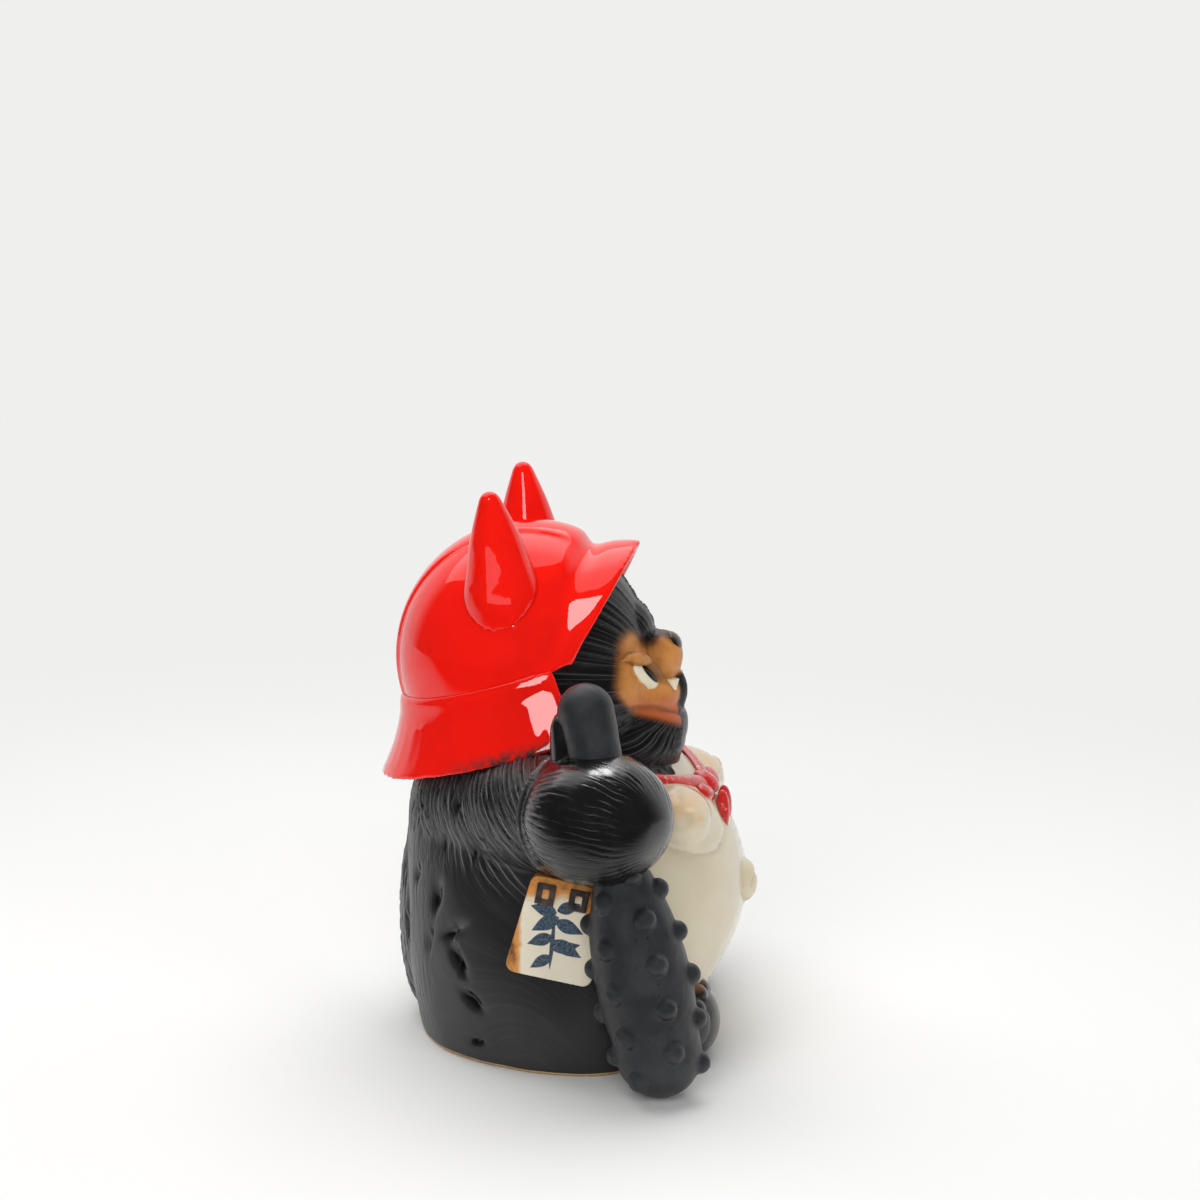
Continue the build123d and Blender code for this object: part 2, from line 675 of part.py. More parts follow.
head_shell = cut(head, skull_hollow, body, neck_vent, horn_vents)
snout = cut(
    ellipsoid((SNOUT_HALF_WIDTH, SNOUT_HALF_DEPTH, SNOUT_HALF_HEIGHT), (0, -SNOUT_FORWARD, SNOUT_HEIGHT)),
    head, muzzle,
)
nose_pad = cut(
    ellipsoid((NOSE_HALF_WIDTH, NOSE_HALF_DEPTH, NOSE_HALF_HEIGHT), (0, -NOSE_FORWARD, NOSE_HEIGHT)),
    snout, head,
)
face_front = muzzle + head + snout
eye_sizes = (EYE_HALF_LENGTH, EYE_HALF_HEIGHT, EYE_HALF_DEPTH)
right_eye = cut(on_face(-EYE_SPREAD, EYE_HEIGHT, eye_sizes, EYE_SLANT, EYE_TURN, EYE_SINK),
                head, snout, muzzle)
brow_sizes = (BROW_HALF_LENGTH, BROW_HALF_HEIGHT, BROW_HALF_DEPTH)
right_brow = cut(on_face(-BROW_SPREAD, BROW_HEIGHT, brow_sizes, BROW_SLANT, BROW_TURN, BROW_SINK),
                 head, muzzle, snout, right_eye)
right_fang = fang(-1)

# Helmet
bowl_ball = helmet_ball(0)
bowl_lining = helmet_ball(-HELMET_WALL)
helmet_bowl = cut(bowl_ball, bowl_lining, below_rim(), before_opening(), horn_vents)
crest_slab = Pos(0, HEAD_BACK, HEAD_HEIGHT) * Box(2 * CREST_HALF_WIDTH, BLOCK, BLOCK)
crest_band = cut(helmet_ball(CREST_RISE) & crest_slab, bowl_ball, below_rim(), before_opening())
visor = helmet_visor()
guard = neck_guard()
horn_hollow = horn_solid(HORN_WALL)
right_horn = cut(horn_solid(0), bowl_ball, horn_hollow)

# Club, arms and fists
lean_out = math.tan(math.radians(CLUB_LEAN_OUT))
lean_forward = math.tan(math.radians(CLUB_LEAN_FORWARD))
club_foot = (-CLUB_FOOT_SPREAD, -CLUB_FOOT_FORWARD, CLUB_CLEAR_OF_FLOOR)
club_plane = Plane(origin=club_foot, z_dir=(lean_out, lean_forward, 1))
club_outside = club_solid()
right_ball = cut(fist_ball(right_grip, 0), body)
left_ball = cut(fist_ball(left_grip, 0), body)
right_arm = cut(right_limb, body, guard, head, right_ball, right_vent)
left_arm = cut(left_limb, body, guard, head, left_ball, left_vent)
right_fist = cut(right_ball, club_outside, fist_ball(right_grip, FIST_WALL), right_vent)
left_fist = cut(left_ball, fist_ball(left_grip, FIST_WALL), left_vent)
right_leg, right_foot = leg_and_foot(-1)
left_leg, left_foot = leg_and_foot(1)
club = cut(club_outside, right_leg, body)

# Belly details
breast_spot = front_of(body, -BREAST_SPREAD, BREAST_HEIGHT)
breast_egg = ellipsoid((BREAST_WIDE, BREAST_DEEP, BREAST_TALL),
                       (breast_spot.X, breast_spot.Y + BREAST_SINK, breast_spot.Z))
right_breast = cut(breast_egg, body)
left_breast = cut(mirrored(breast_egg), body)
nipple_spot = front_of(body + right_breast, -NIPPLE_SPREAD, NIPPLE_HEIGHT)
right_nipple = cut(Pos(*nipple_spot) * Sphere(NIPPLE_RADIUS), body, right_breast)
navel_spot = front_of(body, 0, NAVEL_HEIGHT)
navel = Pos(*navel_spot) * Rot(90, 0, 0) * Torus(NAVEL_RING_RADIUS, NAVEL_ROLL_RADIUS)
tail_spot = seat(body, (0, BLOCK, TAIL_HEIGHT), (0, -1, 0))
tail = ellipsoid((TAIL_HALF_WIDTH, TAIL_HALF_DEPTH, TAIL_HALF_LENGTH),
                 (0, tail_spot.Y - TAIL_SINK, TAIL_HEIGHT))

# Chin cord, knot, bow and tails
chest = body + right_breast + left_breast
knot_spot = front_of(chest, 0, KNOT_HEIGHT)
cord_knot = cut(
    ellipsoid((KNOT_HALF_WIDTH, KNOT_HALF_DEPTH, KNOT_HALF_HEIGHT), tuple(knot_spot)), chest, muzzle
)
right_cord = cut(cord_half(-1), chest, cord_knot, muzzle, head, right_arm, guard)
left_cord = cut(cord_half(1), chest, cord_knot, muzzle, head, left_arm, guard)
chin_cord = Compound(children=[right_cord, left_cord])
loops = []
tail_ends = []
for side in (-1, 1):
    spot = front_of(chest, side * LOOP_SPREAD, KNOT_HEIGHT - LOOP_DROP)
    egg = ellipsoid((LOOP_HALF_LENGTH, LOOP_HALF_DEPTH, LOOP_HALF_HEIGHT), tuple(spot),
                    (0, side * -LOOP_TURN, 0))
    loops.append(cut(egg, chest, cord_knot, right_cord, left_cord, muzzle))
    spot = front_of(chest, side * TAIL_END_SPREAD, KNOT_HEIGHT - TAIL_END_DROP)
    egg = ellipsoid((TAIL_END_HALF_WIDTH, TAIL_END_HALF_DEPTH, TAIL_END_HALF_LENGTH), tuple(spot),
                    (0, side * -TAIL_END_TURN, 0))
    tail_ends.append(cut(egg, chest, cord_knot, *loops, *tail_ends))

account_plaque, book_ties = account_book()

parts = {
    "torso_shell": torso_shell,
    "belly_panel": belly_panel,
    "right_breast": right_breast,
    "left_breast": left_breast,
    "nipples": Compound(children=[right_nipple, mirrored(right_nipple)]),
    "navel_ring": cut(navel, body),
    "tail": cut(tail, body),
    "right_leg": right_leg,
    "left_leg": left_leg,
    "right_foot": right_foot,
    "left_foot": left_foot,
    "right_arm": right_arm,
    "left_arm": left_arm,
    "right_fist": right_fist,
    "left_fist": left_fist,
    "club": cut(club, club_hollow()),
    "club_studs": club_studs(),
    "account_book": account_plaque,
    "book_ties": book_ties,
    "sake_flask": sake_flask(),
    "head_shell": head_shell,
    "muzzle": muzzle,
    "snout": snout,
    "nose_pad": nose_pad,
    "right_eye": right_eye,
    "left_eye": mirrored(right_eye),
    "right_brow": right_brow,
    "left_brow": mirrored(right_brow),
    "right_fang": right_fang,
    "left_fang": mirrored(right_fang),
    "helmet_bowl": helmet_bowl,
    "crest_band": crest_band,
    "visor": visor,
    "neck_guard": guard,
    "right_horn": right_horn,
    "left_horn": mirrored(right_horn),
    "chin_cord": chin_cord,
    "cord_knot": cord_knot,
    "bow_loops": Compound(children=loops),
    "cord_tails": Compound(children=tail_ends),
}

os.makedirs("parts", exist_ok=True)
for name, solid in parts.items():
    export_step(solid, "parts/" + name + ".step")
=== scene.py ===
"""Looks of a clay tanuki in a horned war helmet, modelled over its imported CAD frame."""

import itertools
import math

import bpy
import numpy as np
from mathutils import Matrix, Vector


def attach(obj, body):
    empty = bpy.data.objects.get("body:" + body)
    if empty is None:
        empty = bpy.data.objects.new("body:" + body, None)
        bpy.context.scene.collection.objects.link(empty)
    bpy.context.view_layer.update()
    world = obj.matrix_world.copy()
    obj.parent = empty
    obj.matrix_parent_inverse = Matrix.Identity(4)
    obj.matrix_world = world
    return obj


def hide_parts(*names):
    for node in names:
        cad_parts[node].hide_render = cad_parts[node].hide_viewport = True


bl_info = {
    "name": "Helmeted tanuki figure",
    "version": (1, 0, 0),
    "blender": (4, 5, 0),
    "location": "3D View > Sidebar > Tanuki",
    "description": "Models the glazed clay skins of a helmeted tanuki over its CAD frame",
    "category": "Object",
}

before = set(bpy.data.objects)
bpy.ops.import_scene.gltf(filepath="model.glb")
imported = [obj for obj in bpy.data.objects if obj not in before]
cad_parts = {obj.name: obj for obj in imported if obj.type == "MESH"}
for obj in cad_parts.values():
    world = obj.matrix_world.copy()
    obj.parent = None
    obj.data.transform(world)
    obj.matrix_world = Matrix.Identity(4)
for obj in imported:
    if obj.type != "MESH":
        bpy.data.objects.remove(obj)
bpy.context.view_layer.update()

MM = 0.001
SMOOTHING_ANGLE = math.radians(50.0)
WELD_DISTANCE = 0.002 * MM

# Places and sizes on the figure in millimetres, in the frame of the CAD model
BODY_AXIS = 10.0
HEAD_MIDDLE = np.array([0.0, 28.0, 195.5])
FACE_HEIGHT = 184.0
RIGHT_FIST = np.array([-108.0, -21.0, 137.0])
LEFT_FIST = np.array([103.0, -14.0, 92.0])
ARM_ROOT = (36.0, 58.0, 125.0)
BELLY_MIDDLE_HEIGHT = 78.0
BELLY_HALF_WIDTH = 88.0
BELLY_HALF_HEIGHT = 70.0
NAVEL_HEIGHT = 77.0
NIPPLE_OUT = 56.0
NIPPLE_HEIGHT = 124.0
BOOK_MIDDLE = (-97.0, 1.5, 77.0)
CLUB_FOOT = (-120.0, -57.0, 1.5)
CLUB_AXIS = (0.1051, 0.2309, 1.0)
EYE_MIDDLE = (23.0, -32.5, 189.3)
EYE_TURN = math.radians(36.0)
EYE_SLANT = math.radians(40.0)
SNOUT_MIDDLE = np.array([0.0, -40.5, 196.3])
SNOUT_HALF_SIZES = np.array([14.5, 11.2, 13.6])
GUARD_AXIS = np.array([0.0, 0.2907, 0.9568])


def ease(low, high, value):
    """Smooth step from 0 at low to 1 at high."""
    share = np.clip((value - low) / (high - low), 0.0, 1.0)
    return share * share * (3.0 - 2.0 * share)


def grain(spots, size, seed=0):
    """Smooth noise from -1 to 1 at points, with lumps of a size (one number or one per axis)."""
    seed_step, shuffle, scatter = 19.7, np.array([127.1, 311.7, 74.7]), 43758.5453
    cell = np.asarray(spots) / np.asarray(size) + seed_step * seed
    base = np.floor(cell)
    part = ease(0.0, 1.0, cell - base)
    total = np.zeros(len(cell))
    for corner in itertools.product((0, 1), repeat=3):
        mixed = np.sin((base + corner) @ shuffle) * scatter
        value = 2.0 * (mixed - np.floor(mixed)) - 1.0
        total += value * np.prod(np.where(corner, part, 1.0 - part), axis=1)
    return total


def hump(value, width):
    """Bell of height 1 about the places where a value is 0."""
    return np.exp(-((value / width) ** 2))


def dome(reach):
    """Half ball of height 1 that comes down to 0 at a reach of 1."""
    return np.sqrt(np.clip(1.0 - reach ** 2, 0.0, 1.0))


def unit(way):
    """A way with length 1."""
    return way / np.linalg.norm(way)


def on_side(side, place):
    """A place of the left half, mirrored to the right where side is -1."""
    return np.array(place) * (side, 1.0, 1.0)


def facing(way, axis="Z"):
    """Turns that lay an axis along a way."""
    return Vector(way).to_track_quat(axis, "Y").to_euler()


def strokes(across, along, pitch, length, seed):
    """Depth from 0 to 1 of combed strokes: lines along one way, wandering, starting and ending."""
    spots = np.stack([across, along, np.zeros_like(across)], 1)
    wander = grain(spots, (4.0 * pitch, length, 1.0), seed)
    line = np.abs(np.sin(math.pi * (across / pitch + 1.1 * wander)))
    taper = grain(spots, (0.9 * pitch, length, 1.0), seed + 5)
    return hump(line, 0.42) * ease(-0.45, 0.35, taper)


def alone(*pieces):
    """Selects only these pieces and makes the first one active."""
    bpy.ops.object.select_all(action="DESELECT")
    for piece in pieces:
        piece.select_set(True)
    bpy.context.view_layer.objects.active = pieces[0]


def joined(pieces):
    """Pieces made into one."""
    alone(*pieces)
    if len(pieces) > 1:
        bpy.ops.object.join()
    return bpy.context.object


def mode(kind):
    """Switches to edit or object mode."""
    bpy.ops.object.mode_set(mode=kind)


def all_over(piece, step, **settings):
    """Runs one edit operator on the whole of a piece."""
    alone(piece)
    mode("EDIT")
    bpy.ops.mesh.select_all(action="SELECT")
    step(**settings)
    mode("OBJECT")


def pick(piece, kind, chosen):
    """Opens a piece in edit mode with only the chosen faces or edges selected."""
    alone(piece)
    mode("EDIT")
    bpy.ops.mesh.select_mode(type=kind)
    bpy.ops.mesh.select_all(action="DESELECT")
    mode("OBJECT")
    elements = piece.data.polygons if kind == "FACE" else piece.data.edges
    elements.foreach_set("select", chosen)
    mode("EDIT")


def read(elements, field):
    """One vector of every element of a mesh, as rows."""
    flat = np.empty(3 * len(elements), np.float32)
    elements.foreach_get(field, flat)
    return flat.reshape(-1, 3)


def points(piece):
    """Vertices of a piece in millimetres."""
    return read(piece.data.vertices, "co").astype(float) / MM


def edge_ends(piece):
    """Numbers of the two vertices of every edge."""
    ends = np.empty(2 * len(piece.data.edges), np.int32)
    piece.data.edges.foreach_get("vertices", ends)
    return ends.reshape(-1, 2)


def put(piece, spots):
    """Moves the vertices of a piece to places in millimetres."""
    piece.data.vertices.foreach_set("co", (np.asarray(spots) * MM).astype(np.float32).ravel())
    piece.data.update()


def press(piece, rise):
    """Moves the vertices along their normals by a rise in millimetres, one for all or one each."""
    ways = read(piece.data.vertex_normals, "vector").astype(float)
    put(piece, points(piece) + ways * np.reshape(rise, (-1, 1)))


def remember(piece, **values):
    """Keeps named numbers at the vertices for the glazes, each one for all or one per vertex."""
    for name, value in values.items():
        layer = piece.data.attributes.new(name, "FLOAT", "POINT")
        layer.data.foreach_set("value", np.full(len(piece.data.vertices), value, np.float32))


def cast(*nodes):
    """Working copy of CAD nodes, joined and merged."""
    copies = [bpy.data.objects.new(node + "_cast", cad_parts[node].data.copy()) for node in nodes]
    for copy in copies:
        bpy.context.collection.objects.link(copy)
    piece = joined(copies)
    all_over(piece, bpy.ops.mesh.remove_doubles, threshold=WELD_DISTANCE)
    return piece


def lump(step, middle, turns, half_sizes=None, **settings):
    """A primitive at a place in millimetres, turned, and scaled where half sizes are given."""
    bpy.ops.object.select_all(action="DESELECT")
    step(location=Vector(middle) * MM, rotation=turns, **settings)
    if half_sizes is not None:
        bpy.context.object.scale = Vector(half_sizes) * MM
    bpy.ops.object.transform_apply(location=True, rotation=True, scale=True)
    return bpy.context.object


def egg(middle, half_sizes, axes=None, detail=5):
    """Egg of three half sizes in millimetres, along three axes of its own where they are given."""
    turns = Matrix(axes).transposed().to_euler() if axes else (0.0, 0.0, 0.0)
    return lump(bpy.ops.mesh.primitive_ico_sphere_add, middle, turns, half_sizes,
                subdivisions=detail, radius=1.0)


def hull_of(hollow, shrink):
    """Convex plug inside a hollow piece, a share smaller about its foot."""
    plug = hollow.copy()
    plug.data = hollow.data.copy()
    bpy.context.collection.objects.link(plug)
    all_over(plug, bpy.ops.mesh.convex_hull)
    spots = points(plug)
    middle = np.array([0.0, BODY_AXIS / 2, spots[:, 2].min()])
    put(plug, middle + (spots - middle) * shrink)
    return plug


def shaped(piece, kind, **settings):
    """Adds a modifier, sets it and applies it."""
    alone(piece)
    bpy.ops.object.modifier_add(type=kind)
    modifier = piece.modifiers[-1]
    for name, value in settings.items():
        setattr(modifier, name, value)
    bpy.ops.object.modifier_apply(modifier=modifier.name)


def kneaded(lumps, voxel, rounds):
    """Lumps pressed into one clay skin of even faces, its edges softened."""
    skin = joined(lumps)
    shaped(skin, "REMESH", mode="VOXEL", voxel_size=voxel * MM)
    shaped(skin, "SMOOTH", factor=0.5, iterations=rounds)
    return skin


def outermost(skin):
    """Drops the closed voids inside a kneaded skin."""
    all_over(skin, bpy.ops.mesh.separate, type="LOOSE")
    islands = list(bpy.context.selected_objects)
    biggest = max(islands, key=lambda island: len(island.data.vertices))
    for island in islands:
        if island is not biggest:
            bpy.data.objects.remove(island)
    return biggest


def soften(piece, share, rounds, keep=0.0):
    """Smooths a skin by a share, one for all or one each; keep swells it back after each round."""
    ends = edge_ends(piece)
    spots = points(piece)
    count = len(spots)
    first, second = ends.T
    links = np.bincount(ends.ravel(), minlength=count)[:, None]
    for step in [0.5, -keep] * rounds:
        total = np.stack([np.bincount(first, spots[second, axis], count)
                          + np.bincount(second, spots[first, axis], count) for axis in range(3)], 1)
        spots += step * np.reshape(share, (-1, 1)) * (total / links - spots)
    put(piece, spots)


def set_back(piece):
    """Lays the top of the chest and what hangs on it further back than the CAD shell."""
    spots = points(piece)
    furthest = 5.5
    spots[:, 1] += furthest * ease(124.0, 142.0, spots[:, 2]) * ease(-25.0, -44.0, spots[:, 1])
    put(piece, spots)


def eye_axes(side):
    """Ways along, up and out of an eye that is turned to the side and slants down to the nose."""
    flat = np.array([side * math.cos(EYE_TURN), math.sin(EYE_TURN), 0.0])
    out = np.array([side * math.sin(EYE_TURN), -math.cos(EYE_TURN), 0.0])
    up = np.array([0.0, 0.0, 1.0])
    long = flat * math.cos(EYE_SLANT) + up * math.sin(EYE_SLANT)
    high = up * math.cos(EYE_SLANT) - flat * math.sin(EYE_SLANT)
    return long, high, out


def settle(piece, name, glaze, slot, *nodes):
    """Names a finished piece, glazes it and puts it in place of CAD nodes, or else of its namesake."""
    nodes = nodes or (name,)
    piece.name = name + "_glazed"
    piece.data.name = piece.name
    piece.data.materials.clear()
    piece.data.materials.append(glaze)
    alone(piece)
    bpy.ops.object.shade_smooth_by_angle(angle=SMOOTHING_ANGLE)
    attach(piece, "root")
    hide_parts(*nodes)


def math_node(operation, swapped=False):
    """A method of Wire that adds a Math node; swapped makes an operator's reflected form."""
    def method(wire, *others):
        values = (*others, wire) if swapped else (wire, *others)
        return wire.nodes.add("ShaderNodeMath", {"operation": operation}, dict(enumerate(values)))
    return method


class Wire:
    """A node's output that takes part in Python sums by adding Math nodes."""

    __add__, __radd__ = math_node("ADD"), math_node("ADD", swapped=True)
    __sub__, __rsub__ = math_node("SUBTRACT"), math_node("SUBTRACT", swapped=True)
    __mul__, __rmul__ = math_node("MULTIPLY"), math_node("MULTIPLY", swapped=True)
    __truediv__, __rtruediv__ = math_node("DIVIDE"), math_node("DIVIDE", swapped=True)
    __abs__, wave, most = math_node("ABSOLUTE"), math_node("SINE"), math_node("MAXIMUM")

    def __init__(self, nodes, socket):
        self.nodes = nodes
        self.socket = socket

    def ramp(self, low, high):
        """Smooth step of this value from 0 at low to 1 at high."""
        values = {"Value": self, "From Min": low, "From Max": high}
        return self.nodes.add("ShaderNodeMapRange", {"interpolation_type": "SMOOTHSTEP"}, values)


class Nodes:
    """A node tree with one method that adds any node."""

    def __init__(self, tree):
        self.tree = tree

    def add(self, kind, settings=None, values=None, out=0, whole=False):
        """Any node: its settings first, then the values or links of its sockets."""
        node = self.tree.nodes.new(kind)
        for name, value in (settings or {}).items():
            setattr(node, name, value)
        for key, value in (values or {}).items():
            socket = node.inputs[key]
            if isinstance(value, Wire):
                self.tree.links.new(value.socket, socket)
            elif socket.type == "RGBA" and len(value) == 3:
                socket.default_value = (*value, 1.0)
            else:
                socket.default_value = value
        return node if whole else Wire(self, node.outputs[out])


class Glaze(Nodes):
    """One procedural glaze: a Principled shader and the nodes that vary it."""

    def __init__(self, name, roughness=0.3, coat=0.0, coat_roughness=0.05, specular=0.5):
        self.material = bpy.data.materials.new(name)
        self.material.use_nodes = True
        super().__init__(self.material.node_tree)
        self.tints = bpy.context.scene.tanuki_colours
        self.shader = self.tree.nodes["Principled BSDF"]
        even = {"Roughness": roughness, "Coat Weight": coat, "Coat Roughness": coat_roughness,
                "Specular IOR Level": specular}
        for socket, value in even.items():
            self.shader.inputs[socket].default_value = value
        spot = self.add("ShaderNodeTexCoord", out="Object")
        self.spot = self.add("ShaderNodeVectorMath", {"operation": "SCALE"}, {0: spot, "Scale": 1 / MM})
        parts = self.add("ShaderNodeSeparateXYZ", None, {0: self.spot}, whole=True)
        self.x, self.z = (Wire(self, parts.outputs[axis]) for axis in "XZ")

    def kept(self, name):
        """A number that the piece keeps at its vertices."""
        return self.add("ShaderNodeAttribute", {"attribute_name": name}, out="Fac")

    def noise(self, size, detail=3.0, rough=0.55, at=None, distort=0.0):
        """Noise from 0 to 1 with lumps of a size in millimetres."""
        values = {"Vector": at or self.spot, "Scale": 1.0 / size, "Detail": detail,
                  "Roughness": rough, "Distortion": distort}
        return self.add("ShaderNodeTexNoise", None, values, out="Fac")

    def hair(self, wide, long, seed=0.0, detail=2.0, rough=0.5, shift=0.0):
        """Noise drawn out along the fur, with lumps of a width and a length in millimetres."""
        values = {0: (self.kept("across") + shift) / wide, 1: self.kept("along") / long, 2: seed}
        return self.noise(1.0, detail, rough, at=self.add("ShaderNodeCombineXYZ", None, values))

    def combed(self, pitch, length, sharp, seed, shift=0.0):
        """Thin lines along the fur, from 0 to 1, that wander, start and end."""
        wander = self.hair(3.0 * pitch, length, seed, shift=shift)
        gate = self.hair(0.8 * pitch, 0.7 * length, seed + 4.0, 1.0, shift=shift)
        wave = ((self.kept("across") + shift) * (math.pi / pitch) + wander * 5.0).wave()
        return (1.0 - abs(wave)).ramp(1.0 - sharp, 0.97) * gate.ramp(0.40, 0.56)

    def layers(self, colour, *others):
        """Colour with others laid over it in turn, each by its share."""
        for share, other in others:
            values = {0: share, 6: colour, 7: other}
            colour = self.add("ShaderNodeMix", {"data_type": "RGBA"}, values, out=2)
        return colour

    def coat(self, colour, roughness=None, heights=()):
        """Feeds the shader; heights are (height, strength in millimetres) pairs for the bump."""
        feeds = {"Base Color": colour}
        if roughness is not None:
            feeds["Roughness"] = roughness
        for height, strength in heights:
            values = {"Height": height, "Distance": strength * MM, "Strength": 1.0}
            if "Normal" in feeds:
                values["Normal"] = feeds["Normal"]
            feeds["Normal"] = self.add("ShaderNodeBump", None, values)
        for socket, wire in feeds.items():
            self.tree.links.new(wire.socket, self.shader.inputs[socket])
        return self.material


def colour_prop(name, description, default):
    """A glaze colour that a user may change."""
    return bpy.props.FloatVectorProperty(
        name=name, description=description, default=default, size=3, min=0.0, max=1.0, subtype="COLOR"
    )


def length_prop(name, description, default):
    """A length in metres that a user may change."""
    return bpy.props.FloatProperty(
        name=name, description=description, default=default * MM, unit="LENGTH", precision=5
    )


class TanukiSizes(bpy.types.PropertyGroup):
    """Sizes of the carved and modelled detail."""

    fur_pitch: length_prop("Fur pitch", "Distance between carved strokes on the body", 4.8)
    fur_depth: length_prop("Fur depth", "Depth of carved strokes on the body", 1.0)
    fist_depth: length_prop("Fist stroke depth", "Depth of hair strokes on the fists", 0.55)
    head_rise: length_prop("Head stroke rise", "Rise of hair strokes round the face", 0.75)
    rim_height: length_prop("Bare rim height", "Height of the bare clay rim at the foot", 2.2)
    seam_rise: length_prop("Wrist seam rise", "Rise of the mould seam round each wrist", 1.2)
    pit_depth: length_prop("Gouge depth", "Depth of the gouges beside the tail", 3.4)
    guard_flute: length_prop("Guard flute", "Depth of the flutes of the neck guard", 0.06)


class TanukiColours(bpy.types.PropertyGroup):
    """Colours of the glazes."""

    black: colour_prop("Black glaze", "Fur of the body, and the feet", (0.013, 0.013, 0.0145))
    deep_black: colour_prop("Deep black glaze", "Fur of the head, fists and nose", (0.005, 0.005, 0.0055))
    red: colour_prop("Red glaze", "Helmet and horns", (0.86, 0.008, 0.003))
    dark_red: colour_prop("Pooled red glaze", "Red glaze where it lies thick", (0.60, 0.005, 0.003))
    cream: colour_prop("Cream glaze", "Belly, throat and flask", (0.66, 0.59, 0.44))
    orange: colour_prop("Orange stain", "Sprayed stain of the face", (0.57, 0.24, 0.06))
    russet: colour_prop("Russet stain", "Redder stain of the muzzle", (0.50, 0.105, 0.035))
    iron: colour_prop("Iron glaze", "Matt grey glaze of the club", (0.019, 0.020, 0.022))
    clay: colour_prop("Bare clay", "Unglazed foot rim", (0.50, 0.33, 0.15))
    indigo: colour_prop("Indigo wash", "Brushed leaves of the book", (0.030, 0.048, 0.075))
    cord: colour_prop("Cord red", "Brushed red of the chin cord", (0.56, 0.022, 0.018))


def sizes():
    return bpy.context.scene.tanuki_sizes


def body_flow(spots):
    """Across and along the fur: down the back, and down and forwards over the flanks."""
    turn = np.degrees(np.arctan2(np.abs(spots[:, 0]), spots[:, 1] - BODY_AXIS))
    lean = 0.12 * ease(0.0, 30.0, turn) + 0.80 * ease(45.0, 95.0, turn)
    flank_radius, straight_height = 88.0, 118.0
    across = np.radians(turn) * flank_radius + lean * (spots[:, 2] - straight_height)
    return np.where(spots[:, 0] > 0.0, -across, across), spots[:, 2], turn


def fur_glaze():
    """Charcoal satin glaze with fine combed lines, a cream belly and a bare clay foot rim."""
    g = Glaze("Body glaze", coat=0.15, coat_roughness=0.2)
    fur, cloud = g.kept("fur"), g.noise(22.0)
    lines = g.combed(4.3, 30.0, 0.42, 2.0) * fur
    nicks = g.combed(4.3, 11.0, 0.62, 2.0, shift=2.1) * fur
    groove = g.kept("groove").most(nicks)
    black = g.layers(
        g.tints.black,
        (g.hair(6.0, 60.0, 3.0, 3.0, 0.6).ramp(0.45, 0.8) * 0.5, (0.030, 0.030, 0.031)),
        (g.kept("ridge") * 0.6, (0.075, 0.073, 0.071)),
        (lines * 0.85, (0.25, 0.245, 0.24)),
        (groove, (0.002, 0.002, 0.0025)),
    )
    edge = g.kept("belly") + (g.noise(5.0, 2.0) - 0.5) * 0.05
    outside = edge.ramp(0.955, 0.995)
    skin = g.layers(
        g.tints.cream,
        (cloud.ramp(0.4, 0.75) * 0.35, (0.62, 0.50, 0.32)),
        (g.kept("blush"), (0.70, 0.36, 0.10)),
        (edge.ramp(0.90, 0.99), (0.42, 0.23, 0.09)),
        (outside, black),
    )
    rim = sizes().rim_height / MM
    height = g.z + (g.noise(14.0, 2.0) - 0.5) * 0.8
    glazed = height.ramp(rim - 0.3, rim)
    line = g.layers((0.012, 0.010, 0.009), (height.ramp(rim + 0.9, rim + 1.2), skin))
    rough = 0.08 + outside * (0.27 + cloud * 0.12 - groove * 0.18) + (1.0 - glazed) * 0.4
    hair = g.hair(1.9, 26.0) * (outside * fur)
    bumps = [(hair, 0.4), (lines, 0.6), (nicks, -0.7), (g.noise(1.4, 2.0), 0.05)]
    return g.coat(g.layers(g.tints.clay, (glazed, line)), rough, bumps)


